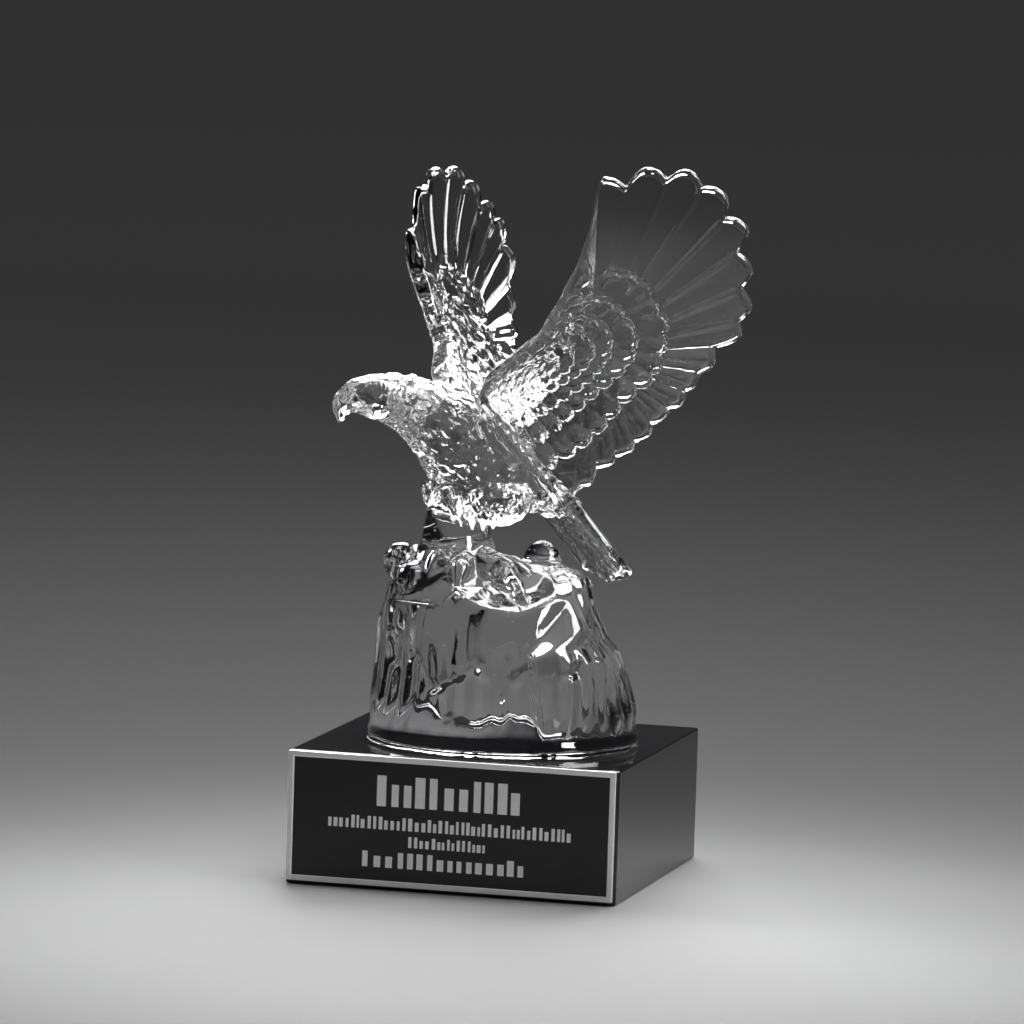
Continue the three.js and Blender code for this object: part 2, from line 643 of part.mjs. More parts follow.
// Box with all its edges cut at 45 degrees, standing on its foot
function edgedBox(width, depth, height, edge) {
  const corners = (inset) => {
    const x = width / 2 - inset;
    const y = depth / 2 - inset;
    return [
      [x, -y + edge], [x, y - edge], [x - edge, y], [-x + edge, y],
      [-x, y - edge], [-x, -y + edge], [-x + edge, -y], [x - edge, -y],
    ];
  };
  const ring = (inset, z) => corners(inset).map(([x, y]) => new THREE.Vector3(x, y, z));
  const rings = [ring(edge, 0), ring(0, edge), ring(0, height - edge), ring(edge, height)];
  return loft(rings, new THREE.Vector3(0, 0, 0), new THREE.Vector3(0, 0, height));
}

// Name plate: a raised border round a shallow field
function plateSolid() {
  const edge = PLATE_FIELD_DEPTH;
  const steps = [[0, 0], [0, PLATE_THICKNESS - edge], [edge, PLATE_THICKNESS],
    [PLATE_BORDER, PLATE_THICKNESS], [PLATE_BORDER, PLATE_THICKNESS - PLATE_FIELD_DEPTH]];
  const rings = steps.map(([inset, lift]) => {
    const x = PLATE_WIDTH / 2 - inset;
    const z = PLATE_HEIGHT / 2 - inset;
    return [[x, -z], [x, z], [-x, z], [-x, -z]].map(([px, pz]) => new THREE.Vector3(px, -lift, pz));
  });
  const back = new THREE.Vector3(0, 0, 0);
  const front = new THREE.Vector3(0, -PLATE_THICKNESS + PLATE_FIELD_DEPTH, 0);
  return loft(rings, back, front);
}

function named(name, geometry, material) {
  const flat = geometry.toNonIndexed();
  flat.computeVertexNormals();
  const mesh = new THREE.Mesh(flat, material);
  mesh.name = name;
  return mesh;
}

const head = bodyAt(EYE_FORWARD);
const eye = (side) => lumpSolid({
  at: [EYE_FORWARD, side * (head.halfWidth - EYE_SINK), head.crown - EYE_BELOW_CROWN],
  size: [EYE_RADIUS, EYE_RADIUS, EYE_RADIUS],
  turn: 0,
}, EYE_SIDES, LUMP_LEVELS);
const thigh = (side) => lumpSolid({
  at: [THIGH_FORWARD, side * THIGH_SIDE, THIGH_HEIGHT],
  size: [THIGH_LENGTH, THIGH_WIDTH, THIGH_DROP],
  turn: 0,
}, THIGH_SIDES, THIGH_LEVELS);

const eagle = named('eagle_on_rock', joined([
  cragSolid(),
  legSolid(),
  bodySolid(),
  tailSolid(),
  wingSolid(1, LEFT_CENTRE, LEFT_FEATHERS, LEFT_ARM),
  wingSolid(-1, RIGHT_CENTRE, RIGHT_FEATHERS, RIGHT_ARM),
  thigh(1),
  thigh(-1),
  eye(1),
  eye(-1),
  ...LUMPS.map((lump) => lumpSolid(lump)),
  ...TOES.map(toeSolid),
]), CRYSTAL);

const block = named('black_base', edgedBox(BLOCK_WIDTH, BLOCK_DEPTH, BLOCK_HEIGHT, BLOCK_EDGE), BLACK_GLASS);

const plate = named('name_plate', plateSolid(), PLATE_METAL);
plate.position.set(PLATE_SHIFT_X, -BLOCK_DEPTH / 2 - SEAT_GAP, BLOCK_HEIGHT / 2 + PLATE_SHIFT_Z);

const award = new THREE.Group();
award.name = 'crystal_eagle_award';
award.add(eagle, block, plate);

export default award;
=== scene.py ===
# Crystal eagle award: a clear cast crystal eagle on its crag, glued to a polished black glass block
# that carries a bordered name plate. Metres, +Z up, the plate faces -Y.

import math
import bmesh
import bpy
import numpy as np
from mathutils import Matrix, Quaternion, Vector


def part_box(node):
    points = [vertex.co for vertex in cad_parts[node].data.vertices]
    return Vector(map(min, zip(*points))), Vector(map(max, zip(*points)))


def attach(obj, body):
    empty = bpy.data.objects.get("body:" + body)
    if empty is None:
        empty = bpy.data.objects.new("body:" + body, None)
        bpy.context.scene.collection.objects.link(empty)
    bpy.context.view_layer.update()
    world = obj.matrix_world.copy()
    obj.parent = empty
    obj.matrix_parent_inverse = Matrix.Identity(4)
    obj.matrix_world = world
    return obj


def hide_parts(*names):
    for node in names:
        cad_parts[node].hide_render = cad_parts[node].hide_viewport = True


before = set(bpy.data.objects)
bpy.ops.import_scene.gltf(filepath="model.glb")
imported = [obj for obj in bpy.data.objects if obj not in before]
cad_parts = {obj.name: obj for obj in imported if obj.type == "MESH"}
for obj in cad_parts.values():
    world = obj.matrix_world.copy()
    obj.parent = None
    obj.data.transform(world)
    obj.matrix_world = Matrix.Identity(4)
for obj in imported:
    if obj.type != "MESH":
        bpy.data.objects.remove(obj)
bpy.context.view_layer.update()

MM = 0.001
base_low, base_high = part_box("black_base")
base_top = base_high[2] / MM


# ---- Camera
# The view of the photo: a long lens from slightly above and to the right of the plate,
# with the small tilt of a hand-held camera.

VIEW_TURN = math.radians(14.357)
VIEW_RISE = math.radians(6.608)
VIEW_ROLL = math.radians(1.825)
VIEW_DISTANCE = 2.7175
VIEW_TARGET = (2.677, 0, 120.63)
LENS = 287.3
SENSOR = 36
view_back = Vector((
    math.sin(VIEW_TURN) * math.cos(VIEW_RISE),
    -math.cos(VIEW_TURN) * math.cos(VIEW_RISE),
    math.sin(VIEW_RISE),
))
camera_data = bpy.data.cameras.new("camera")
camera_data.lens = LENS
camera_data.sensor_width = SENSOR
camera_data.clip_start = 0.1
camera_data.clip_end = 60
camera = bpy.data.objects.new("camera", camera_data)
bpy.context.scene.collection.objects.link(camera)
camera.location = Vector(VIEW_TARGET) * MM + view_back * VIEW_DISTANCE
camera.rotation_mode = "QUATERNION"
camera.rotation_quaternion = view_back.to_track_quat("Z", "Y") @ Quaternion((0, 0, 1), VIEW_ROLL)
bpy.context.scene.camera = camera


# ---- Black glass block
# A solid square block of black optical glass, ground flat and polished on all sides,
# with fine bevels that catch the light along every edge.

BLOCK_BEVEL = 0.8
SMOOTH_ANGLE = math.radians(35)
GLASS_IOR = 1.52


def deselect_all():
    for thing in bpy.context.selected_objects:
        thing.select_set(False)


def make_active(thing):
    deselect_all()
    thing.select_set(True)
    bpy.context.view_layer.objects.active = thing


def apply_all(thing):
    make_active(thing)
    for modifier in list(thing.modifiers):
        bpy.ops.object.modifier_apply(modifier=modifier.name)


def even_shading(thing):
    """Keep the large flat faces flat to the eye beside their narrow bevels."""
    weighted = thing.modifiers.new("even shading", "WEIGHTED_NORMAL")
    weighted.keep_sharp = True
    weighted.weight = 100
    apply_all(thing)


def slab(name, low, high):
    """A plain box between two corners."""
    deselect_all()
    middle = [(a + b) / 2 for a, b in zip(low, high)]
    bpy.ops.mesh.primitive_cube_add(size=1, location=middle)
    thing = bpy.context.object
    thing.name = name
    thing.scale = [b - a for a, b in zip(low, high)]
    make_active(thing)
    bpy.ops.object.transform_apply(location=True, rotation=True, scale=True)
    return thing


block = slab("polished_block", base_low, base_high)
bevel = block.modifiers.new("ground edges", "BEVEL")
bevel.width = BLOCK_BEVEL * MM
bevel.segments = 3
apply_all(block)
make_active(block)
bpy.ops.object.shade_smooth_by_angle(angle=SMOOTH_ANGLE)
even_shading(block)
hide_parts("black_base")
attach(block, "root")


def new_material(name):
    material = bpy.data.materials.new(name)
    material.use_nodes = True
    nodes = material.node_tree.nodes
    shader = nodes["Principled BSDF"]
    return material, nodes, material.node_tree.links, shader


def preset(node, values):
    for name, value in values.items():
        node.inputs[name].default_value = value


def bumped(nodes, links, shader, source, strength, distance):
    bump = nodes.new("ShaderNodeBump")
    preset(bump, {"Strength": strength, "Distance": distance})
    links.new(source, bump.inputs["Height"])
    links.new(bump.outputs["Normal"], shader.inputs["Normal"])


mottling = bpy.data.node_groups.new("mottling", "ShaderNodeTree")
for name in ("Scale", "Detail", "From Low", "From High", "To Low", "To High"):
    mottling.interface.new_socket(name=name, in_out="INPUT", socket_type="NodeSocketFloat")
for name in ("Height", "Ranged"):
    mottling.interface.new_socket(name=name, in_out="OUTPUT", socket_type="NodeSocketFloat")
given = mottling.nodes.new("NodeGroupInput")
result = mottling.nodes.new("NodeGroupOutput")
where = mottling.nodes.new("ShaderNodeTexCoord")
noise = mottling.nodes.new("ShaderNodeTexNoise")
span = mottling.nodes.new("ShaderNodeMapRange")
for source, target in (
    (where.outputs["Object"], noise.inputs["Vector"]),
    (given.outputs["Scale"], noise.inputs["Scale"]),
    (given.outputs["Detail"], noise.inputs["Detail"]),
    (noise.outputs["Fac"], span.inputs["Value"]),
    (given.outputs["From Low"], span.inputs["From Min"]),
    (given.outputs["From High"], span.inputs["From Max"]),
    (given.outputs["To Low"], span.inputs["To Min"]),
    (given.outputs["To High"], span.inputs["To Max"]),
    (noise.outputs["Fac"], result.inputs["Height"]),
    (span.outputs["Result"], result.inputs["Ranged"]),
):
    mottling.links.new(source, target)


def mottled(nodes, scale, detail, low=0, high=1, to_low=0, to_high=1):
    """The shared mottling at its own size: its bare height, and that height put on a range."""
    node = nodes.new("ShaderNodeGroup")
    node.node_tree = mottling
    preset(node, {"Scale": scale, "Detail": detail, "From Low": low, "From High": high})
    preset(node, {"To Low": to_low, "To High": to_high})
    return node


black_glass, nodes, links, shader = new_material("polished_black_glass")
preset(shader, {"Base Color": (0.004, 0.004, 0.0045, 1), "IOR": GLASS_IOR})
wiping = mottled(nodes, 38, 3, 0.35, 0.75, 0.025, 0.075)
links.new(wiping.outputs["Ranged"], shader.inputs["Roughness"])
bumped(nodes, links, shader, mottled(nodes, 9, 1).outputs["Height"], 0.02, 0.001)
block.data.materials.append(black_glass)


# ---- Name plate
# A thin satin metal plate over the whole front of the block. Its field is filled with black enamel
# and leaves a bright border.

PLATE_BORDER = 2.4
FIELD_DEPTH = 0.25
PLATE_BEVEL = 0.18

plate_low, plate_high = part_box("name_plate")
plate = slab("bordered_plate", plate_low, plate_high)
mesh = bmesh.new()
mesh.from_mesh(plate.data)
front = [face for face in mesh.faces if face.normal.y < -0.9]
bmesh.ops.inset_region(mesh, faces=front, thickness=PLATE_BORDER * MM)
bmesh.ops.inset_region(mesh, faces=front, thickness=FIELD_DEPTH * MM, depth=-FIELD_DEPTH * MM)
for face in front:
    face.material_index = 1
mesh.to_mesh(plate.data)
mesh.free()
bevel = plate.modifiers.new("dressed edges", "BEVEL")
bevel.width = PLATE_BEVEL * MM
bevel.segments = 2
bevel.limit_method = "ANGLE"
apply_all(plate)
make_active(plate)
bpy.ops.object.shade_smooth_by_angle(angle=SMOOTH_ANGLE)
even_shading(plate)
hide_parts("name_plate")
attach(plate, "root")


def ranged(nodes, links, source, low, high, to_low, to_high):
    """The source mapped from low..high to to_low..to_high."""
    node = nodes.new("ShaderNodeMapRange")
    preset(node, {"From Min": low, "From Max": high, "To Min": to_low, "To Max": to_high})
    links.new(source, node.inputs["Value"])
    return node.outputs["Result"]


def mixed(nodes, links, factor, first, second):
    node = nodes.new("ShaderNodeMix")
    node.data_type = "RGBA"
    preset(node, {"A": first, "B": second})
    links.new(factor, node.inputs["Factor"])
    return node.outputs["Result"]


satin, nodes, links, shader = new_material("satin_plate_metal")
preset(shader, {"Metallic": 0.7})
where = nodes.new("ShaderNodeTexCoord")
stretch = nodes.new("ShaderNodeMapping")
preset(stretch, {"Scale": (30, 30, 2600)})
brushing = nodes.new("ShaderNodeTexNoise")
preset(brushing, {"Scale": 1, "Detail": 3})
links.new(where.outputs["Object"], stretch.inputs["Vector"])
links.new(stretch.outputs["Vector"], brushing.inputs["Vector"])
tone = mixed(nodes, links, brushing.outputs["Fac"], (0.84, 0.82, 0.81, 1), (0.97, 0.95, 0.94, 1))
links.new(tone, shader.inputs["Base Color"])
links.new(ranged(nodes, links, brushing.outputs["Fac"], 0.3, 0.7, 0.38, 0.5), shader.inputs["Roughness"])
bumped(nodes, links, shader, brushing.outputs["Fac"], 0.08, 0.0002)
plate.data.materials.append(satin)

enamel, nodes, links, shader = new_material("black_enamel_field")
preset(shader, {"Base Color": (0.006, 0.006, 0.0065, 1)})
drying = mottled(nodes, 900, 2, 0.3, 0.7, 0.3, 0.42)
links.new(drying.outputs["Ranged"], shader.inputs["Roughness"])
bumped(nodes, links, shader, mottled(nodes, 1600, 2).outputs["Height"], 0.05, 0.0001)
plate.data.materials.append(enamel)


# ---- Engraved rows
# Where the plate carries its wording, rows of plain short strokes stand in for it, of the same
# bright metal as the border. They are not letters.

# Each row: low and high edge, left and right end, width of a stroke and gap, in mm.
ROWS = [
    (27.9, 38.1, -25.3, 24.2, 2.7, 1.5),
    (20.2, 24.4, -41.6, 40.7, 1.15, 0.62),
    (14.7, 18.3, -14.2, 12.9, 1.1, 0.6),
    (7.6, 12.8, -29.7, 28.6, 1.9, 1.25),
]


def finished(name, mesh):
    """An object made from a bmesh, which is freed."""
    data = bpy.data.meshes.new(name)
    mesh.to_mesh(data)
    mesh.free()
    thing = bpy.data.objects.new(name, data)
    bpy.context.scene.collection.objects.link(thing)
    return thing


chance = np.random.default_rng(5)
STROKE_HEIGHT = 0.1
STROKE_BEVEL = 0.16
field_y = plate_low[1] + FIELD_DEPTH * MM
mesh = bmesh.new()
for low, high, left, right, stroke, gap in ROWS:
    x = left
    while x + stroke <= right + 0.01:
        wide = stroke * (0.75 + 0.5 * chance.random())
        top = high - (high - low) * (0.28 if chance.random() < 0.45 else 0.0)
        cube = bmesh.ops.create_cube(mesh, size=1)["verts"]
        for v in cube:
            v.co.x = (x + (v.co.x + 0.5) * wide) * MM
            v.co.z = (low + (v.co.z + 0.5) * (top - low)) * MM
            v.co.y = field_y - STROKE_HEIGHT / 2 * MM + v.co.y * STROKE_HEIGHT * MM
        x += wide + gap * (0.8 + 0.9 * chance.random())
bevel_edges = [e for e in mesh.edges if abs(e.verts[0].co.y - e.verts[1].co.y) > 0.00005]
bmesh.ops.bevel(mesh, geom=bevel_edges, offset=STROKE_BEVEL * MM, segments=2, affect="EDGES",
                profile=0.5)
strokes = finished("engraved_rows", mesh)
strokes.data.materials.append(satin)
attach(strokes, "root")


# ---- Crystal crag
# The foot of the casting: a clear lump with soft flutes running down its sides and a broken rim,
# fire polished after the mould, flat underneath where it is glued to the block.

clear, nodes, links, shader = new_material("clear_cast_crystal")
preset(shader, {"Base Color": (0.992, 0.995, 0.999, 1), "Roughness": 0.0})
preset(shader, {"IOR": GLASS_IOR, "Transmission Weight": 1.0})
bumped(nodes, links, shader, mottled(nodes, 420, 2).outputs["Height"], 0.05, 0.0002)

def ease(share):
    s = np.clip(share, 0.0, 1.0)
    return s * s * (3 - 2 * s)


def grain(points, size, seed):
    """Soft lumps of about the given size, from -1 to 1."""
    table = np.random.default_rng(seed).random((64, 64, 64))
    place = np.asarray(points) / size + 1000.0
    cell = np.floor(place).astype(int)
    t = ease(place - cell)
    total = 0.0
    for corner in range(8):
        step = np.array([corner & 1, corner >> 1 & 1, corner >> 2 & 1])
        share = np.prod(np.where(step == 1, t, 1 - t), axis=-1)
        at = (cell + step) % 64
        total = total + share * table[at[..., 0], at[..., 1], at[..., 2]]
    return total * 2 - 1


def skin(name, rings, first, last):
    """A closed mesh over a stack of rings, with a point at either end."""
    rings = np.asarray(rings)
    rows, around = rings.shape[:2]
    verts = np.concatenate([rings.reshape(-1, 3), [first], [last]]) * MM
    a = (np.arange(rows - 1)[:, None] * around + np.arange(around)[None, :]).ravel()
    b = (np.arange(rows - 1)[:, None] * around + (np.arange(around)[None, :] + 1) % around).ravel()
    faces = np.stack([a, b, b + around, a + around], 1).tolist()
    end = (rows - 1) * around
    for i in range(around):
        n = (i + 1) % around
        faces.append((rows * around, n, i))
        faces.append((rows * around + 1, end + i, end + n))
    data = bpy.data.meshes.new(name)
    data.from_pydata(verts.tolist(), [], faces)
    work = bmesh.new()
    work.from_mesh(data)
    bmesh.ops.triangulate(work, faces=work.faces)
    if work.calc_volume(signed=True) < 0:
        bmesh.ops.reverse_faces(work, faces=work.faces)
    work.to_mesh(data)
    work.free()
    thing = bpy.data.objects.new(name, data)
    bpy.context.scene.collection.objects.link(thing)
    return thing


def ring_normals(rings, outside):
    along = np.gradient(rings, axis=0)
    around = np.roll(rings, -1, axis=1) - np.roll(rings, 1, axis=1)
    normal = np.cross(along, around)
    normal /= np.linalg.norm(normal, axis=-1, keepdims=True) + 1e-9
    flip = np.sign(np.sum(normal * (rings - outside), axis=-1).mean())
    return normal * flip


CRAG_X, CRAG_HALF_WIDTH, CRAG_HALF_DEPTH, CRAG_FRONT = 1.7, 45.0, 41.0, math.radians(-75.6)
SEAT_GAP = 0.3
# Each row: height above the foot, share of the foot's reach to the left, right, front and back.
CRAG_ROWS = [
    (0.0, 1.0, 1.01, 1.0, 1.0), (2.6, 1.0, 1.01, 1.0, 1.0), (3.6, 0.98, 0.98, 0.965, 0.97),
    (12, 0.955, 0.95, 0.955, 0.955), (22, 0.93, 0.89, 0.945, 0.94), (31, 0.92, 0.81, 0.93, 0.925),
    (36, 0.915, 0.71, 0.92, 0.91), (41, 0.91, 0.67, 0.905, 0.895), (46, 0.90, 0.66, 0.885, 0.87),
    (50, 0.885, 0.65, 0.86, 0.83), (52, 0.86, 0.64, 0.79, 0.77), (55, 0.80, 0.61, 0.60, 0.60),
    (58, 0.62, 0.50, 0.40, 0.42), (60, 0.40, 0.32, 0.24, 0.26),
]
# Each flute: angle, drift by the rim, depth, half width in degrees, height where it fades out.
CRAG_FLUTES = [
    (-72, 3, 1.8, 6, 60), (-60, 3, 2.8, 6, 47), (-49, 2, 2.2, 5, 60), (-37, -4, 0.9, 8, 40),
    (-27, 2, 0.5, 5, 46), (-17, -2, 0.4, 4, 50), (-6, 2, 1.0, 5, 36), (2, 4, 1.2, 4, 32),
    (9, 3, 0.6, 3, 40), (25, 4, 0.8, 6, 34), (33, 6, 1.4, 5, 37),
    (43, 4, 1.8, 5, 41), (53, 2, 2.4, 6, 60), (65, -2, 2.0, 6, 46), (78, -2, 1.8, 7, 60),
    (104, 3, 2.6, 9, 60), (127, -5, 1.6, 8, 44), (147, 6, 2.8, 10, 60), (168, -4, 1.6, 9, 40),
    (188, 5, 2.6, 10, 60), (209, -6, 1.6, 8, 46), (230, 4, 2.8, 9, 60), (252, -3, 2.0, 8, 44),
]
# How far the rim drops at each angle.
CRAG_RIM = [
    (-180, 1.5), (-155, 4.0), (-128, 0.5), (-105, 1.5), (-90, 0), (-65, 0.8), (-45, 3.0),
    (-22, -1.2), (-8, 2.2), (8, 4.2), (20, 2.2), (33, 0), (50, -0.4), (90, 0), (120, 2.4),
    (145, 3.6), (163, 0), (180, 1.5),
]
# Each leaning slab: angles where it starts and is full, angle of its edge at the foot, height at the
# start, upper and lower height where full, how far it stands out, angle where it ends.
CRAG_BUTTRESSES = [(11, 44, 16, 32, 50, 40, 2.9, 96), (-148, -112, -152, 28, 47, 38, 2.6, -84)]
# Each chip: angle and height of its ends, half width, depth.
CRAG_MARKS = [
    (-35, 20.5, -11, 29.5, 1.6, 1.1), (-11, 29.5, -8.5, 25.5, 1.3, 0.8),
    (-1, 18.5, -1, 18.6, 1.2, 0.9),
    (-26, 10.5, -24, 11.3, 1.1, 1.6), (0.5, 30.0, 0.5, 31.5, 0.9, 1.4), (11, 27.5, 5, 24.0, 1.5, 1.2),
    (-48, 30.0, -44, 29.2, 1.2, 1.2), (30, 26.5, 36, 27.5, 1.0, 1.2), (-66, 27.0, -65, 36.0, 2.2, 3.4),
    (140, 25.0, 150, 32.0, 1.3, 1.4), (196, 18.0, 203, 26.0, 1.2, 1.5), (236, 33.0, 238, 38.0, 1.3, 1.6),
]

levels = np.concatenate([[0, 0.4, 1.3, 2.2], np.linspace(2.8, 60, 84)])
table = np.array(CRAG_ROWS, float)
heights = levels[:, None]
turns = np.linspace(-180, 180, 320, endpoint=False)[None, :]
to_left, to_right, to_front, to_back = (
    np.interp(levels, table[:, 0], table[:, k])[:, None] for k in (1, 2, 3, 4)
)
sine, cosine = np.sin(np.radians(turns)), np.cos(np.radians(turns))


def turned_from(angle):
    return (turns - angle + 540) % 360 - 180


depth = np.zeros((len(levels), turns.size))
for at, drift, deep, wide, top in CRAG_FLUTES:
    apart = np.abs(turned_from(at + drift * heights / 50)) / wide
    kept = 1 - ease((heights - top + 9) / 9)
    hollow = np.where(apart < 1, 0.5 + 0.5 * np.cos(np.pi * np.minimum(apart, 1)), 0)
    depth += deep * kept * hollow * 1.1
depth *= ease((heights - 4) / 12)
for start, full, foot, low, high, under, proud, end in CRAG_BUTTRESSES:
    along = turned_from(start) / (full - start)
    upper = low + np.clip(along, 0, 1) * (high - low)
    lower = low - 1 + np.clip(along, 0, 1) * (under - low + 1)
    edge = start + (foot - start) * np.clip(1 - heights / low, 0, 1)
    depth -= (
        proud * np.clip((upper - heights) / (upper - lower), 0, 1) * ease(turned_from(edge) / 3.0)
        * (1 - ease(turned_from(end - 18) / 18)) * (np.abs(turned_from((start + end) / 2)) < 90)
        * ease(heights / 14)
    )
ledge = np.clip(turned_from(11) / 33, 0, 1) * (np.abs(turned_from(40)) < 60)
ledge_top, ledge_foot = 32 + 18 * ledge, 31 + 10 * ledge
LEDGE_PROUD = 5.0
depth -= (
    LEDGE_PROUD * ledge * np.clip((ledge_top - heights) / (ledge_top - ledge_foot), 0, 1)
    * ease((heights - 6) / 30) * (1 - ease(turned_from(50) / 18))
)
for from_turn, from_height, to_turn, to_height, wide, deep in CRAG_MARKS:
    size = math.radians(1) * 38
    x, y = turned_from(from_turn) * size, heights - from_height
    dx, dy = (to_turn - from_turn) * size, to_height - from_height
    t = np.clip((x * dx + y * dy) / (dx * dx + dy * dy + 1e-9), 0, 1)
    depth += deep * np.exp(-(np.hypot(x - t * dx, y - t * dy) / wide) ** 2)
rim = np.array(CRAG_RIM, float)
drop = np.interp(turns, rim[:, 0], rim[:, 1]) * ease((heights - 34) / 15) * (1 - ease((heights - 54) / 6))
side_share = np.where(sine > 0, to_right, to_left)
depth_share = np.where(cosine > 0, to_front, to_back)
reach = depth * np.minimum(side_share, depth_share)
right = (CRAG_HALF_WIDTH * side_share - reach) * sine
ahead = (CRAG_HALF_DEPTH * depth_share - reach) * cosine
rings = np.stack([
    CRAG_X + ahead * math.cos(CRAG_FRONT) - right * math.sin(CRAG_FRONT),
    ahead * math.sin(CRAG_FRONT) + right * math.cos(CRAG_FRONT),
    base_top + SEAT_GAP + heights - drop,
], axis=-1)
waves = grain(rings, 16.0, 3) * 0.9 + grain(rings * [1, 1, 0.35], 7.5, 4) * 0.16
rings += ring_normals(rings, np.array([CRAG_X, 0, base_top])) * (waves * ease((heights - 3) / 10))[..., None]
crag = skin("crag", rings, rings[0].mean(0), rings[-1].mean(0))


# ---- Legs and feet of the casting
# The legs are one clear slab down to the crag, with thick toes and curved talons gripping the rim
# and round lumps of the rock between them, all melted into one surface.

BIRD_X = 3.0
BIRD_HEADING = math.radians(225)
forward_way = np.array([math.cos(BIRD_HEADING), math.sin(BIRD_HEADING), 0.0])
left_way = np.array([-forward_way[1], forward_way[0], 0.0])
up_way = np.array([0.0, 0.0, 1.0])


def bird_point(forward, left, height):
    """A point given ahead of the bird, to its left and above the block, in mm."""
    forward, left, height = (np.asarray(v, float)[..., None] for v in (forward, left, height))
    return np.array([BIRD_X, 0.0, base_top]) + forward * forward_way + left * left_way + height * up_way


def smooth_rows(rows, at):
    """Rows of sizes read at places between them, along a smooth curve."""
    rows = np.asarray(rows, float)
    at = np.clip(np.asarray(at, float), 0, len(rows) - 1)
    i = np.minimum(at.astype(int), len(rows) - 2)
    t = (at - i)[..., None]
    before, here, there, after = (rows[np.clip(i + k, 0, len(rows) - 1)] for k in (-1, 0, 1, 2))
    slope_here, slope_there = (there - before) / 2, (after - here) / 2
    return ((2 * t ** 3 - 3 * t ** 2 + 1) * here + (t ** 3 - 2 * t ** 2 + t) * slope_here
            + (-2 * t ** 3 + 3 * t ** 2) * there + (t ** 3 - t ** 2) * slope_there)


# Each row: height, forward of its middle, half length, half width.
LEG_ROWS = [
    (48, 22.0, 22.0, 17.0), (56, 21.8, 19.0, 14.5), (61, 21.4, 15.8, 12.0), (66, 21.0, 13.2, 10.0),
    (71, 21.4, 11.6, 8.8), (78, 22.2, 9.6, 8.2), (85, 22.6, 7.8, 8.0), (92, 23.0, 5.6, 7.0),
]
rows = smooth_rows(LEG_ROWS, np.linspace(0, 7, 50))[:, None, :]
turns = np.linspace(0, 2 * np.pi, 80, endpoint=False)[None, :]
LEG_SQUARENESS = 2.1
square = np.abs(np.cos(turns)) ** LEG_SQUARENESS + np.abs(np.sin(turns)) ** LEG_SQUARENESS
square = square ** (-1 / LEG_SQUARENESS)
rings = bird_point(
    rows[..., 1] + rows[..., 2] * np.cos(turns) * square,
    rows[..., 3] * np.sin(turns) * square,
    rows[..., 0] + 0 * turns,
)
legs = skin("legs", rings, rings[0].mean(0), rings[-1].mean(0))


def egg(centre, half, along, across, levels, around):
    """Rings round an egg of the given half sizes, with the rise and turn of their points."""
    rise = np.linspace(0, np.pi, levels)[1:-1, None]
    turns = np.linspace(0, 2 * np.pi, around, endpoint=False)[None, :]
    rings = (
        centre + (half[0] * np.sin(rise) * np.cos(turns))[..., None] * along
        + (half[1] * np.sin(rise) * np.sin(turns))[..., None] * across
        - (half[2] * np.cos(rise) + 0 * turns)[..., None] * up_way
    )
    return rings, rise, turns


def lump(name, at, size, turn):
    along = forward_way * math.cos(turn) + left_way * math.sin(turn)
    across = left_way * math.cos(turn) - forward_way * math.sin(turn)
    centre = bird_point(*at)
    rings = egg(centre, size, along, across, 25, 40)[0]
    return skin(name, rings, centre - up_way * size[2], centre + up_way * size[2])


def limb(name, path, radii, around=28, steps=40, facing=up_way, flat=1.0):
    """A tapering round or flattened strand along a path, such as a toe, a tuft or a plume."""
    at = np.linspace(0, len(path) - 1, steps)
    line = smooth_rows(path, at)
    middle = bird_point(line[:, 0], line[:, 1], line[:, 2])
    radius_at = at * (len(radii) - 1) / (len(path) - 1)
    radius = np.maximum(smooth_rows(np.array(radii, float)[:, None], radius_at)[:, 0], 0.12)
    along = np.gradient(middle, axis=0)
    along /= np.linalg.norm(along, axis=1, keepdims=True)
    side = np.cross(along, facing)
    side /= np.linalg.norm(side, axis=1, keepdims=True) + 1e-9
    rise = np.cross(side, along) * flat
    turns = np.linspace(0, 2 * np.pi, around, endpoint=False)
    turns = turns[None, :, None]
    spokes = np.cos(turns) * side[:, None, :] + np.sin(turns) * rise[:, None, :]
    rings = middle[:, None, :] + radius[:, None, None] * spokes
    return skin(name, rings, middle[0], middle[-1])


def unite(name, things):
    """All the things fused into the first."""
    make_active(things[0])
    for thing in things[1:]:
        modifier = things[0].modifiers.new("union", "BOOLEAN")
        modifier.operation = "UNION"
        modifier.solver = "MANIFOLD"
        modifier.object = thing
        bpy.ops.object.modifier_apply(modifier=modifier.name)
        bpy.data.objects.remove(thing)
    things[0].name = name
    return things[0]


# Each lump: its place, half sizes and turn in degrees.
LUMPS = [
    ((-11, 2, 58.6), (6.8, 6.8, 8.0), 0), ((39, -6, 60.4), (6.4, 5.4, 6.4), 20),
    ((38.5, 1, 54.5), (6.0, 6.6, 6.6), 10),
]
# Each toe: root, knuckle and tip, and its girth.
TOES = [
    ((24, 5, 61), (32, 7, 65.5), (37, 8, 54.0), 3.9), ((22, 7, 60), (29, 15, 63.5), (32, 20, 51.0), 3.7),
    ((17, 7, 60), (14, 19, 63.5), (11, 29, 49.0), 4.6), ((15, 5, 60), (5, 12, 62.5), (-2, 17, 52.5), 3.6),
    ((24, -5, 61), (32, -8, 65.5), (37, -12, 55.0), 3.8), ((22, -7, 60), (27, -17, 63.5), (29, -24, 51.0), 3.7),
    ((17, -7, 60), (14, -19, 63.5), (11, -29, 49.0), 4.2), ((15, -5, 60), (5, -12, 62.5), (-2, -17, 52.5), 3.6),
]
TOE_TAPER = (0.9, 1.05, 0.88, 1.0, 0.74, 0.52, 0.22)
MELT_VOXEL = 0.75

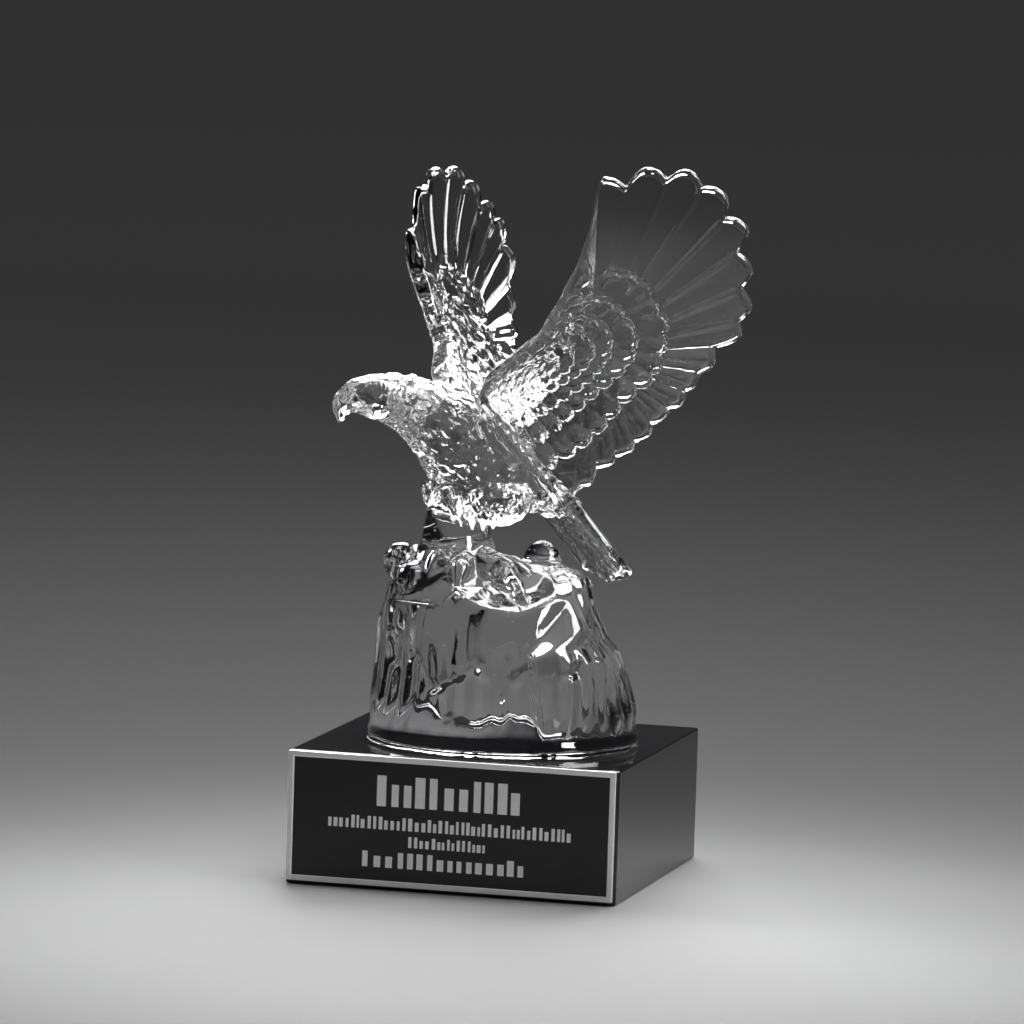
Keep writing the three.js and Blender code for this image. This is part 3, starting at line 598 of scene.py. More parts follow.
feet = [crag, legs]
for k, (at, size, turn) in enumerate(LUMPS):
    feet.append(lump(f"lump_{k}", at, size, math.radians(turn)))
for k, (start, knuckle, tip, girth) in enumerate(TOES):
    start, knuckle, tip = (np.array(p, float) for p in (start, knuckle, tip))
    path = [(1 - t) ** 2 * start + 2 * t * (1 - t) * knuckle + t * t * tip for t in np.linspace(0, 1, 7)]
    feet.append(limb(f"toe_{k}", path, [girth * share for share in TOE_TAPER]))
rock = unite("rock", feet)
remesh = rock.modifiers.new("melt together", "REMESH")
remesh.mode = "VOXEL"
remesh.voxel_size = MELT_VOXEL * MM
settling = rock.modifiers.new("fire polish", "SMOOTH")
settling.factor = 0.5
settling.iterations = 6
apply_all(rock)


# ---- Body, neck and head of the eagle
# Solid cast crystal with the plumage pressed in by the mould: small overlapping feathers on the
# neck and breast, a smooth hooked beak, a heavy brow and a round eye.

def combined(nodes, links, operation, first, second):
    node = nodes.new("ShaderNodeMath")
    node.operation = operation
    links.new(first, node.inputs[0])
    links.new(second, node.inputs[1])
    return node.outputs["Value"]


def measured(nodes, links, where, operation, vector):
    """How far each place is from a point, or how far it lies along a way."""
    node = nodes.new("ShaderNodeVectorMath")
    node.operation = operation
    node.inputs[1].default_value = vector
    links.new(where.outputs["Object"], node.inputs[0])
    return node.outputs["Value"]


pressed_crystal, nodes, links, shader = new_material("pressed_plumage_crystal")
preset(shader, {"Base Color": (0.99, 0.995, 1.0, 1), "IOR": GLASS_IOR, "Transmission Weight": 1.0})
where = nodes.new("ShaderNodeTexCoord")
HEAD_PLACE = (-0.0395, -0.0425, base_top * MM + 0.116)
FLANK_PLACE = (0.008, -0.013, base_top * MM + 0.094)
off_head = measured(nodes, links, where, "DISTANCE", HEAD_PLACE)
off_head = ranged(nodes, links, off_head, 0.016, 0.036, 0.2, 1.0)
frost = mottled(nodes, 170, 3, 0.45, 0.75, 0.0, 0.05)
frost = combined(nodes, links, "MULTIPLY", frost.outputs["Ranged"], off_head)
on_flank = measured(nodes, links, where, "DISTANCE", FLANK_PLACE)
on_flank = ranged(nodes, links, on_flank, 0.008, 0.026, 1.0, 0.0)
softness = mottled(nodes, 130, 2, 0.35, 0.65, 0.1, 0.36)
softness = combined(nodes, links, "MULTIPLY", on_flank, softness.outputs["Ranged"])
links.new(combined(nodes, links, "ADD", frost, softness), shader.inputs["Roughness"])
cells = nodes.new("ShaderNodeTexVoronoi")
preset(cells, {"Scale": 380})
links.new(where.outputs["Object"], cells.inputs["Vector"])
nap = combined(nodes, links, "MULTIPLY", cells.outputs["Distance"], off_head)
bumped(nodes, links, shader, nap, 0.1, -0.0008)


# Each row: forward and height of the upper line, forward and height of the lower line, half width.
BODY_ROWS = [
    (67.9, 108.4, 66.8, 107.8, 0.45),
    (68.8, 110.2, 65.3, 108.9, 1.3), (69.9, 113.4, 63.9, 110.6, 2.3), (68.6, 117.4, 61.8, 110.9, 3.3),
    (65.5, 119.9, 60.0, 110.5, 4.4), (61.5, 122.0, 57.3, 109.7, 6.0), (57.0, 123.3, 54.0, 108.6, 6.9),
    (52.2, 123.5, 50.0, 107.2, 7.2), (46.8, 123.0, 46.0, 105.5, 7.8), (40.5, 121.8, 41.8, 102.3, 9.6),
    (33.5, 120.6, 37.2, 98.4, 12.8), (25.5, 118.2, 33.0, 93.6, 15.6), (17.5, 113.8, 29.0, 88.4, 17.0),
    (9.0, 107.6, 24.0, 82.2, 17.0), (1.0, 101.0, 17.5, 77.4, 16.2), (-6.0, 94.6, 9.0, 75.8, 14.6),
    (-12.0, 89.0, 0.5, 76.4, 13.0), (-17.0, 84.6, -7.0, 77.0, 12.0), (-21.5, 80.6, -14.5, 74.8, 11.6),
]


def scales(along, across, long, wide, step, seed):
    """Height of overlapping rounded feathers: along runs away from the head, both in mm."""
    wander = np.stack([along, across, 0 * along], -1)
    along = along + grain(wander, 6.0, seed) * 0.5
    across = across + grain(wander, 5.0, seed + 1) * 0.6
    row = np.floor(along / long)
    height = np.zeros_like(along)
    for back in (0, 1):
        this = row - back
        shift = (this % 2) * 0.5
        x = (across / wide + shift) % 1.0 - 0.5
        tip = (this + 1.55 - 1.1 * (2 * x) ** 2 * 0.55) * long
        inside = ease((tip - along) / 0.45)
        rise = np.clip((along - this * long) / (tip - this * long + 1e-6), 0, 1)
        height = np.maximum(height, inside * step * (0.25 + 0.75 * rise) * (1 - 0.5 * (2 * x) ** 2))
    return height


def near_line(forward, height, line, width):
    """One on the line, fading to nothing over about the width."""
    closest = np.full(forward.shape, 1e9)
    for (a, b), (c, d) in zip(line, line[1:]):
        span = (c - a) ** 2 + (d - b) ** 2
        t = np.clip(((forward - a) * (c - a) + (height - b) * (d - b)) / span, 0, 1)
        closest = np.minimum(closest, np.hypot(forward - a - t * (c - a), height - b - t * (d - b)))
    return np.exp(-(closest / width) ** 2)


at = np.concatenate([np.linspace(0, 9, 100), np.linspace(9, 18, 96)[1:]])
rows = smooth_rows(BODY_ROWS, at)[:, None, :]
turns = np.linspace(0, 2 * np.pi, 170, endpoint=False)[None, :]
share = (1 + np.cos(turns)) / 2
forward = rows[..., 2] + (rows[..., 0] - rows[..., 2]) * share
height = rows[..., 3] + (rows[..., 1] - rows[..., 3]) * share
side = rows[..., 4] * np.sin(turns)
rings = bird_point(forward, side, height)
normal = ring_normals(rings, rings.mean(axis=1, keepdims=True))
middle_line = bird_point(rows[:, 0, 0], 0 * rows[:, 0, 0], rows[:, 0, 1])
steps_along = np.linalg.norm(np.diff(middle_line, axis=0), axis=1)
run = np.concatenate([[0], np.cumsum(steps_along)])[:, None] + 0 * turns
girth = (turns - np.pi) * (rows[..., 4] + 6.0)
plumage = scales(run, girth, 5.4, 5.6, 1.0, 11) * ease((run - 24) / 12)
fluff = grain(rings, 1.6, 21) * 0.14 + grain(rings, 3.6, 22) * (0.34 + 0.5 * ease((run - 24) / 10))
streak = grain(np.stack([run / 5.0, girth / 0.9, side / 40], -1), 1.0, 23)
streak = streak * 0.1 * ease((run - 16) / 10)
face = 1 - ease((run - 20) / 14)
eye_gap = np.hypot(forward - 55.6, height - 120.2)
outer = ease((np.abs(np.sin(turns)) - 0.35) / 0.3)
features = (
    -0.3 * np.exp(-(eye_gap / 2.3) ** 2) + 0.7 * np.sqrt(np.clip(1 - (eye_gap / 1.6) ** 2, 0, 1))
    + 0.45 * near_line(forward, height, [(65.4, 118.3), (60.5, 121.2), (55.6, 122.9), (52.0, 122.2)], 0.9)
    - 0.3 * near_line(forward, height, [(65.0, 111.9), (60.7, 113.3), (56.8, 114.6)], 0.45)
    - 0.2 * near_line(forward, height, [(65.6, 118.6), (64.9, 114.6), (63.6, 112.4)], 0.5)
    - 0.35 * np.exp(-(np.hypot(forward - 66.4, height - 114.2) / 0.7) ** 2)
    + 0.35 * near_line(forward, height, [(54.5, 112.0), (50.5, 114.5), (49.0, 118.5)], 1.6)
    - 0.3 * near_line(forward, height, [(52.0, 110.2), (47.4, 113.5), (46.0, 119.0)], 1.2)
) * outer
relief = plumage * (0.75 + 0.25 * share) + (fluff + streak) * (1 - 0.75 * face * (run < 14))
relief = relief + features * (run < 45)
rings = rings + normal * (relief * ease(run / 5.0))[..., None]
body = skin("body", rings, bird_point(67.4, 0, 107.6), rings[-1].mean(0))


# ---- Thighs with their feather trousers
# Two full thighs of cast crystal with pressed scales. Their lower feathers hang as short points
# over the clear leg slab.

THIGH_HALF = (12, 7.5, 9.5)


def thigh(name, way):
    centre = bird_point(11, way * 10.5, 83)
    rings, rise, turns = egg(centre, THIGH_HALF, forward_way, left_way, 60, 90)
    normal = ring_normals(rings, centre)
    fall = (rise[::-1] * 10.5) + 0 * turns
    relief = scales(fall, turns * 10 + 0 * rise, 3.6, 3.4, 0.6, 31) + grain(rings, 1.4, 33) * 0.15
    rings = rings + normal * relief[..., None]
    return skin(name, rings, centre - THIGH_HALF[2] * up_way, centre + THIGH_HALF[2] * up_way)


# Each tuft: forward and height of its root, forward and height of its tip.
FRINGE = [
    (29.5, 83.5, 26.6, 76.4), (26.5, 80.5, 24.6, 73.6), (22.5, 79.0, 21.0, 72.2), (18.5, 78.5, 17.2, 71.8),
    (14.5, 78.5, 13.4, 72.2), (10.5, 78.8, 9.2, 72.8), (6.5, 79.0, 4.6, 74.2), (2.5, 80.0, 0.2, 75.8),
]
tufts = []
for way in (1, -1):
    for k, (start, top, end, low) in enumerate(FRINGE):
        spread = 6.5 + 4.5 * math.sin(math.pi * (k + 0.8) / 8.5)
        path = [
            (start, way * (spread - 2.0), top + 2.0),
            ((start + end) / 2, way * spread, (top + low) / 2),
            (end, way * (spread - 0.8), low),
        ]
        tufts.append(limb(f"tuft_{way}_{k}", path, [2.4, 1.5, 0.3], around=14, steps=14))


# ---- Tail
# A straight fan of seven long fluted feathers, cast as one plate of crystal. It is thickest in
# the middle and has rounded tips.

TAIL_ROOT = (-12.5, 83.0)
TAIL_END = (-40.5, 52.4)
TAIL_FEATHERS = 7
TAIL_WIDTH = 26
root_point = bird_point(TAIL_ROOT[0], 0, TAIL_ROOT[1])
end_point = bird_point(TAIL_END[0], 0, TAIL_END[1])
tail_length = np.linalg.norm(end_point - root_point)
tail_way = (end_point - root_point) / tail_length
tail_face = np.cross(left_way, tail_way)
run = np.concatenate([np.linspace(0, 0.9, 46), np.linspace(0.9, 1, 12)[1:]])[:, None]
across = np.linspace(-1, 1, 113)
both = np.concatenate([across, across[::-1]])[None, :]
facing = np.concatenate([np.ones(113), -np.ones(113)])[None, :]
width = TAIL_WIDTH + 3 * run
feather = (both + 1) / 2 * TAIL_FEATHERS
local = (feather % 1.0) * 2 - 1
rounding = np.sqrt(np.clip(1 - np.abs(local) ** 2.4, 0, 1))
half = 2.2 * (1 - 0.45 * np.abs(both)) + (rounding - 0.5) * 1.6 - 0.3 * np.exp(-(local / 0.13) ** 2)
BARB_STEP = 3.3
barbs = np.sin((run * tail_length + 2.8 * np.abs(local)) * 2 * np.pi / BARB_STEP)
barbs = 0.2 * (1 - ease((np.abs(both) - 0.7) / 0.2)) * barbs * (1 - 0.6 * np.abs(local))
closing = np.sqrt(np.clip(1 - ((run - 0.955) / 0.045).clip(0, 1) ** 2, 0.02, 1))
tip = -3.2 * (1 - rounding) * ease((run - 0.85) / 0.15) - np.abs(both) * 3.2 * run
edge = np.sqrt(np.clip(1 - ((np.abs(both) - 0.93) / 0.07).clip(0, 1) ** 2, 0.03, 1))
half = (half + barbs) * closing * edge
rings = (
    root_point + (run * tail_length + tip)[..., None] * tail_way
    + (both * width / 2)[..., None] * left_way + (facing * half)[..., None] * tail_face
)
tail = skin("tail", rings, rings[0].mean(0), rings[-1].mean(0))


# ---- Wings
# Thin raised wings pressed on both faces: long flight feathers with rounded, fire-polished tips,
# and rows of overlapping coverts that get smaller towards the thick arm and the shoulder.

WING_TOE_OUT = math.radians(30)
# A wing's outline is drawn round its centre, given behind and above the shoulder. Each feather:
# angle and reach of its tip, angle and reach of the notch after it. The arm: angle and reach.
LEFT_CENTRE = (36.8, 15.0)
LEFT_FEATHERS = [
    (87.5, 58.8, 80.7, 56.2), (74.0, 64.6, 68.9, 62.8), (63.8, 68.6, 58.8, 65.6), (53.2, 68.6, 48.0, 62.4),
    (42.0, 66.0, 37.0, 57.6), (31.3, 59.8, 25.5, 53.2), (19.2, 54.8, 13.9, 49.6), (8.6, 49.8, 3.9, 40.4),
    (-3.2, 41.2, -10.2, 37.2), (-16.6, 37.2, -23.0, 34.8), (-29.6, 36.2, -36.4, 33.6),
    (-43.2, 34.8, -49.8, 33.4), (-56.6, 36.8, -63.0, 36.2), (-69.0, 39.4, -75.0, 39.2),
    (-79.8, 42.2, -84.8, 42.4), (-89.0, 48.8, -94.4, 53.0),
]
LEFT_ARM = [
    (256, 52.5), (243, 46.5), (231, 43.5), (218, 42.5), (208, 41.0), (201, 37.0), (196, 31.5),
    (189, 26.0), (179, 21.4), (166.2, 18.0), (146, 18.0), (125.2, 19.9), (112, 24.0),
    (103.1, 28.0), (97.6, 33.8), (94.4, 38.4), (92.6, 42.0), (91.2, 48.6), (90.0, 54.4),
]
RIGHT_CENTRE = (27.1, 9.1)
RIGHT_FEATHERS = [
    (77.4, 52.6, 72.0, 55.6), (65.4, 62.8, 60.6, 63.6), (55.8, 68.4, 50.9, 65.6), (46.4, 70.2, 41.2, 66.2),
    (37.4, 71.4, 33.9, 67.6), (31.2, 72.0, 26.8, 65.2), (23.0, 66.8, 18.3, 55.0), (13.6, 51.8, 8.6, 44.0),
    (3.8, 42.4, -1.4, 37.4), (-7.0, 35.0, -13.4, 32.4), (-20.6, 33.8, -28.0, 31.6),
    (-36.0, 33.0, -44.0, 31.8), (-52.0, 35.0, -59.0, 34.6), (-66.0, 38.4, -72.0, 38.2),
    (-77.8, 42.0, -83.0, 42.0), (-88.0, 47.6, -93.6, 51.0),
]
RIGHT_ARM = [
    (256, 49.0), (243, 42.5), (231, 38.0), (219, 34.0), (208, 30.5), (197.2, 26.6), (189, 18.8),
    (179.8, 14.2), (165, 12.2), (145, 13.0), (121, 16.0), (106.6, 23.4),
    (100.3, 29.6), (96.0, 34.8), (92.6, 37.4), (88.0, 38.0), (84.4, 40.4), (81.4, 45.8), (79.2, 50.0),
]
# Each row of coverts: width and length of a feather, its height over the next, and the line of
# the tips, given behind and above the shoulder of the near wing.
COVERT_LINES = [
    (7.2, 11.0, 1.3, [
        (33, 47), (37.2, 42.5), (44.3, 43.4), (50, 42), (55, 38.5), (58, 32), (61.5, 26), (61.5, 18),
        (60, 11), (56.5, 5.5), (52, 1.5), (47.5, -4), (43.5, -10), (38.5, -16), (33.5, -21), (28, -25),
        (23, -28), (16, -31),
    ]),
    (6.0, 8.0, 1.25, [
        (27.8, 32.8), (33.5, 34.2), (40.2, 34.4), (45.5, 31.4), (48.5, 27), (51.5, 22), (51.5, 16),
        (49, 11), (45, 6.5), (40.5, 2.5), (36.5, -2), (32, -7), (27, -12), (22, -16.5), (16.5, -21),
        (10, -25),
    ]),
    (5.2, 7.0, 1.15, [
        (25.5, 27.2), (30.9, 28.6), (36, 28.2), (40.6, 25.4), (43.6, 20.6), (43.2, 15), (40.2, 9.6),
        (36, 5), (31, 0.6), (26, -4), (20.5, -8.6), (15, -13), (9, -17.5), (3, -20),
    ]),
    (4.5, 6.0, 1.0, [
        (21.5, 22), (27, 23.6), (32, 22.8), (36.4, 19.4), (37.4, 14.4), (34.6, 9.4), (30, 5.2),
        (25, 1.2), (19.5, -3), (13.5, -7.6), (7.5, -12), (1, -15),
    ]),
    (4.0, 6.0, 0.8, [
        (17.5, 17.2), (22.4, 19), (27.6, 18.2), (31.4, 14.4), (30, 9.8), (25.5, 6.2), (20, 2.6),
        (14, -1.6), (8, -6), (2, -9.8), (-3, -11.5),
    ]),
    (3.6, 5.5, 0.7, [
        (14, 13), (18.4, 14.6), (23, 13.6), (25.6, 10.8), (21.5, 7.6), (16, 4.4), (10.4, 0.6),
        (4.6, -3), (-1, -6), (-5, -7),
    ]),
    (3.2, 5.0, 0.6, [
        (10, 9), (14, 10.6), (18, 10.2), (15, 7.4), (10, 4.6), (5, 1.4), (0, -1.6), (-5, -3),
    ]),
]


def wing_outline(feathers, arm):
    """Angle, reach, place across the feather (-1 to 1) and number of the feather, all the way round."""
    outline = []
    for i, (tip_angle, tip_reach, notch_angle, notch_reach) in enumerate(feathers):
        from_angle, from_reach = arm[-1] if i == 0 else feathers[i - 1][2:]
        for v in np.linspace(-1, 1, 23)[:-1]:
            other_angle, other_reach = (from_angle, from_reach) if v < 0 else (notch_angle, notch_reach)
            angle = tip_angle + (other_angle - tip_angle) * abs(v)
            reach = other_reach + (tip_reach - 0.3 - other_reach) * (1 - abs(v) ** 2.3)
            outline.append((angle, reach, v, i))
    last = feathers[-1]
    points = [(r * math.cos(math.radians(a)), r * math.sin(math.radians(a))) for a, r in [last[2:]] + list(arm)]
    curve = smooth_rows(points, np.linspace(0, len(points) - 1, (len(points) - 1) * 5 + 1)[:-1])
    for x, y in curve:
        outline.append((math.degrees(math.atan2(y, x)), math.hypot(x, y), 0.0, -1))
    return np.array(outline)


def lean_at(rise):
    """How far the wing leans out at a height over the shoulder."""
    h = np.clip(rise, -75, 75)
    return 0.8 * h - 0.005 * h * np.abs(h)


def covert_relief(back, rise, centre, scale_to):
    """Height of all the covert rows over the wing's plane."""
    total = np.zeros_like(back)
    for wide, long, step, line in COVERT_LINES:
        line = np.array([scale_to(p) for p in line])
        fine = smooth_rows(line, np.linspace(0, len(line) - 1, 240))
        length = np.concatenate([[0], np.cumsum(np.linalg.norm(np.diff(fine, axis=0), axis=1))])
        count = max(3, int(round(length[-1] / wide)))
        for k in range(count):
            spot = (k + 0.5) / count * length[-1]
            x, y = (np.interp(spot, length, fine[:, c]) for c in (0, 1))
            x1, y1 = (np.interp(spot + 1.5, length, fine[:, c]) for c in (0, 1))
            x0, y0 = (np.interp(spot - 1.5, length, fine[:, c]) for c in (0, 1))
            tangent = np.array([x1 - x0, y1 - y0])
            tangent /= np.hypot(*tangent) + 1e-9
            out = np.array([-tangent[1], tangent[0]])
            if out @ (np.array([x, y]) - np.array([0.35 * centre[0], 0.2 * centre[1]])) < 0:
                out = -out
            wobble = math.sin(k * 12.9898 + wide * 78.233)
            x, y = x + out[0] * wobble * 0.6, y + out[1] * wobble * 0.6
            span = length[-1] / count * (1.12 + 0.08 * wobble)
            near = np.hypot(back - x, rise - y) < long + span
            dx, dy = back[near] - x, rise[near] - y
            inward = -(dx * out[0] + dy * out[1])
            sideways = np.abs(dx * tangent[0] + dy * tangent[1]) / (span / 2)
            curve = 0.42 * span * sideways ** 2.4
            inside = ease((inward - curve) / 0.5) * ease((1.0 - sideways) / 0.14) * (inward < long)
            bead = 0.26 * np.exp(-((inward - curve - 0.75) / 0.42) ** 2)
            dome = step * (1 - inward / long) * (0.55 + 0.45 * (1 - sideways ** 2))
            total[near] = np.maximum(total[near], inside * np.clip(dome + bead, 0, None))
    return total


WING_SHOULDER = (23.8, 14.6, 119.5)


def wing(name, way, centre, feathers, arm, flute, seen_side):
    """One wing: flute scales the grooves of its long feathers, seen_side is its better face."""
    outline = wing_outline(feathers, arm)
    angle, reach, local, feather = (outline[:, k][None, :] for k in range(4))
    chord = -forward_way * math.cos(WING_TOE_OUT) + left_way * way * math.sin(WING_TOE_OUT)
    outwards = left_way * way * math.cos(WING_TOE_OUT) + forward_way * math.sin(WING_TOE_OUT)
    shoulder = bird_point(WING_SHOULDER[0], way * WING_SHOULDER[1], WING_SHOULDER[2])
    turned = (angle + 360) % 360
    arm_share = ease((turned - 88) / 8) * (1 - ease((turned - 206) / 30))
    arm_half = (5.0 + 2.6 * ease((turned - 100) / 90)) / 2
    rim = np.array([2.6, 2.1, 1.7, 1.3, 0.95, 0.65, 0.4, 0.2, 0.08, 0.0])
    spread = np.linspace(0.004, 1, 130)[:, None] * (reach - 3.1)
    distance = np.concatenate([reach - spread, rim[:, None] + 0 * reach])
    radius = reach - distance
    share = radius / reach
    back = centre[0] + radius * np.cos(np.radians(angle))
    rise = centre[1] + radius * np.sin(np.radians(angle))

    blade = 1.55 - 0.35 * share ** 2 + 1.1 * np.exp(-(radius / 19) ** 2)
    on_feather = (feather >= 0) * 1.0
    long_feather = (feather < 8) * 1.0
    grown = ease((radius - np.where(feather < 8, 24.0, 17.0)) / 9) * on_feather
    groove = np.exp(-((1 - np.abs(local)) / 0.16) ** 2)
    long_flute = (0.16 * (1 - local ** 2) - 0.2 * groove - 0.06 * np.exp(-(local / 0.14) ** 2)
                  + 0.03 * np.cos(local * 11)) * flute
    short_flute = (0.34 * (np.sqrt(np.clip(1 - np.abs(local) ** 2.6, 0, 1)) - 0.75) + 0.26 * local
                   - 0.12 * np.exp(-(local / 0.12) ** 2))
    flight = (long_feather * long_flute + (1 - long_feather) * short_flute) * grown
    bead = 0.42 * np.exp(-((distance - 1.1) / 0.75) ** 2) * on_feather * ease((radius - 14) / 9)
    left_outline = wing_outline(LEFT_FEATHERS, LEFT_ARM)
    left_order, order = np.argsort(left_outline[:, 0]), np.argsort(outline[:, 0])

    def scale_to(point):
        dx, dy = point[0] - LEFT_CENTRE[0], point[1] - LEFT_CENTRE[1]
        at = math.degrees(math.atan2(dy, dx))
        here = np.interp(at, outline[order, 0], outline[order, 1])
        ratio = here / np.interp(at, left_outline[left_order, 0], left_outline[left_order, 1])
        ratio = min(max(ratio, 0.55), 1.1)
        return (centre[0] + dx * ratio, centre[1] + dy * ratio)

    covert = covert_relief(back, rise, centre, scale_to)
    small = scales(back * 0.84 - rise * 0.54, back * 0.54 + rise * 0.84, 4.6, 4.3, 0.42, 61)
    small *= ease((37 - np.hypot(back - centre[0] + 22, rise - centre[1] + 10)) / 9)
    spot = np.stack([back, rise, 0 * back], -1)
    texture = grain(spot, 1.3, 41) * 0.05 + grain(spot, 3.0, 42) * 0.08
    texture = texture * (0.2 + 0.8 * (1 - grown * long_feather))
    swell = np.clip(arm_half - blade, 0, None) * arm_share * ease(share * 1.6)
    rows = []
    for facing in (1, -1):
        seen = 1.0 if facing == seen_side else 0.2
        pressed = np.maximum(covert, small) if facing == seen_side else 0.5 * covert
        thick = blade + bead + flight * seen + pressed + texture * seen + swell * (0.2 if facing > 0 else 1.8)
        round_over = np.where(arm_share > 0.02, 1.0 + 3.2 * arm_share, 1.25)
        edge = np.clip(distance / round_over, 0, 1)
        thick = np.maximum(thick * np.sqrt(1 - (1 - edge) ** 2), 0.03)
        slope = lean_at(rise + 0.5) - lean_at(rise - 0.5)
        normal = outwards - slope[..., None] * up_way
        normal /= np.linalg.norm(normal, axis=-1, keepdims=True)
        rows.append(
            shoulder + back[..., None] * chord + rise[..., None] * up_way
            + lean_at(rise)[..., None] * outwards + (facing * thick)[..., None] * normal
        )
    rings = np.concatenate([rows[0], rows[1][::-1]])
    return skin(name, rings, rings[0].mean(0), rings[-1].mean(0))


def thin(thing, most):
    """The thing with at most so many triangles."""
    count = sum(len(face.vertices) - 2 for face in thing.data.polygons)
    fewer = thing.modifiers.new("fewer faces", "DECIMATE")
    fewer.ratio = min(1.0, most / count)
    apply_all(thing)
    return thing


left_wing = wing("left_wing", 1, LEFT_CENTRE, LEFT_FEATHERS, LEFT_ARM, 0.8, 1)
thin(left_wing, 68000)
right_wing = wing("right_wing", -1, RIGHT_CENTRE, RIGHT_FEATHERS, RIGHT_ARM, 2.0, -1)
thin(right_wing, 44000)

# Shoulder feathers that lie over the root of each wing and carry its scales onto the back.
for way in (1, -1):
    facing = left_way * way * 0.85 + up_way * 0.5 + forward_way * 0.15
    for row in range(3):
        for k in range(9):
            t = (k + 0.5 * (row % 2)) / 9
            root = np.array([24 - 31 * t, (13.5 - 2.5 * t) + 1.6 * row, 116 - 29 * t - 3.2 * row])
            run = np.array([-6.6 + 0.8 * row, 1.4 - 0.9 * row, -5.6 - 1.2 * row])
            run *= 1 - 0.25 * t
            spots = [root + run * share for share in (0, 0.45, 0.85, 1.0)]
            path = [(f, way * side, h) for f, side, h in spots]
            plume = limb(f"plume_{way}_{row}_{k}", path, [1.6, 2.9, 2.3, 0.5], around=16, steps=14,
                         facing=facing, flat=0.42)
            tufts.append(plume)


def coat(thing, index):
    """Both crystals on the thing, with one of them (0 clear, 1 pressed) on all its faces."""
    for material in (clear, pressed_crystal):
        thing.data.materials.append(material)
    thing.data.polygons.foreach_set("material_index", [index] * len(thing.data.polygons))
    return thing


# Triangles are shared out by how finely each form is pressed.
MOST_TRIANGLES = 194000
pressed = [thin(body, 34000), thin(thigh("thigh_left", 1), 4000), thin(thigh("thigh_right", -1), 3000)]
pressed += tufts
polished = [thin(tail, 9000), thin(rock, 34000), left_wing, right_wing]
coated = [coat(thing, 1) for thing in pressed] + [coat(thing, 0) for thing in polished]
crystal = unite("crystal_eagle", coated)
thin(crystal, MOST_TRIANGLES)
make_active(crystal)
bpy.ops.object.shade_smooth()
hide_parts("eagle_on_rock")
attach(crystal, "root")


# ---- Glue line
# A thin dark film under the flat foot that joins the crystal to the black glass. Its colour is painted
# lighter grey towards the back left, a painted glow for the light that falls on the adhesive there.

FILM_INSET = 1.2
FILM_THICKNESS = 0.36
film_turns = np.radians(np.linspace(-180, 180, 120, endpoint=False))
film_right = (CRAG_HALF_WIDTH - FILM_INSET) * np.sin(film_turns)
film_ahead = (CRAG_HALF_DEPTH - FILM_INSET) * np.cos(film_turns)
film_ring = []
for lift in (0.0, FILM_THICKNESS):
    film_ring.append(np.stack([
        CRAG_X + film_ahead * math.cos(CRAG_FRONT) - film_right * math.sin(CRAG_FRONT),
        film_ahead * math.sin(CRAG_FRONT) + film_right * math.cos(CRAG_FRONT),
        0 * film_turns + base_top + lift,
    ], axis=-1))
film = skin("glue_film", film_ring, film_ring[0].mean(0), film_ring[1].mean(0))
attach(film, "root")

adhesive, nodes, links, shader = new_material("adhesive_with_painted_glow")
preset(shader, {"Specular IOR Level": 0.0})
where = nodes.new("ShaderNodeTexCoord")
FROM_CAMERA = (-0.249, 0.969, 0)
TO_CAMERA_LEFT = (-0.969, -0.249, 0)
back_share = measured(nodes, links, where, "DOT_PRODUCT", FROM_CAMERA)
back_share = ranged(nodes, links, back_share, -0.008, 0.012, 0, 1)
left_share = measured(nodes, links, where, "DOT_PRODUCT", TO_CAMERA_LEFT)
left_share = ranged(nodes, links, left_share, -0.016, 0.008, 0, 1)
# Painted light: the film's colour turns lighter grey towards the back left, a painted glow for light falling
# there.
painted_glow_share = combined(nodes, links, "MULTIPLY", back_share, left_share)
shade = mixed(nodes, links, painted_glow_share, (0.004, 0.004, 0.0045, 1), (0.1, 0.1, 0.102, 1))
links.new(shade, shader.inputs["Base Color"])
ageing = mottled(nodes, 120, 2, 0.3, 0.7, 0.35, 0.6)
links.new(ageing.outputs["Ranged"], shader.inputs["Roughness"])
film.data.materials.append(adhesive)


# ---- Floor, backdrop and lights
# A floor painted with a pool of light round the award and a painted glow far off, a backdrop that glows
# grey with painted shade upwards and to the sides, and soft boxes that light the crystal from above and behind.

mesh = bmesh.new()
bmesh.ops.create_circle(mesh, cap_ends=True, segments=96, radius=9)
floor = finished("floor", mesh)
pale, nodes, links, shader = new_material("floor_with_painted_light")
preset(shader, {"Roughness": 0.8, "Specular IOR Level": 0.1, "Emission Strength": 1.0})
where = nodes.new("ShaderNodeTexCoord")
centred = nodes.new("ShaderNodeMapping")
preset(centred, {"Location": (-0.03, 0.165, 0)})
away = nodes.new("ShaderNodeVectorMath")
away.operation = "LENGTH"
links.new(where.outputs["Object"], centred.inputs["Vector"])
links.new(centred.outputs["Vector"], away.inputs[0])
FLOOR_REACH = 5
far = ranged(nodes, links, away.outputs["Value"], 0, FLOOR_REACH, 0, 1)


def painted_floor_light(stops, socket):
    """Painted light on the floor: tones at distances from the award, on one socket."""
    ramp = nodes.new("ShaderNodeValToRGB")
    ramp.color_ramp.interpolation = "B_SPLINE"
    ramp.color_ramp.elements.remove(ramp.color_ramp.elements[1])
    for reach, tone in stops:
        stop = ramp.color_ramp.elements[0] if reach == 0 else ramp.color_ramp.elements.new(reach / FLOOR_REACH)
        stop.color = (tone, tone, tone * 1.01, 1)
    links.new(far, ramp.inputs["Fac"])
    links.new(ramp.outputs["Color"], shader.inputs[socket])
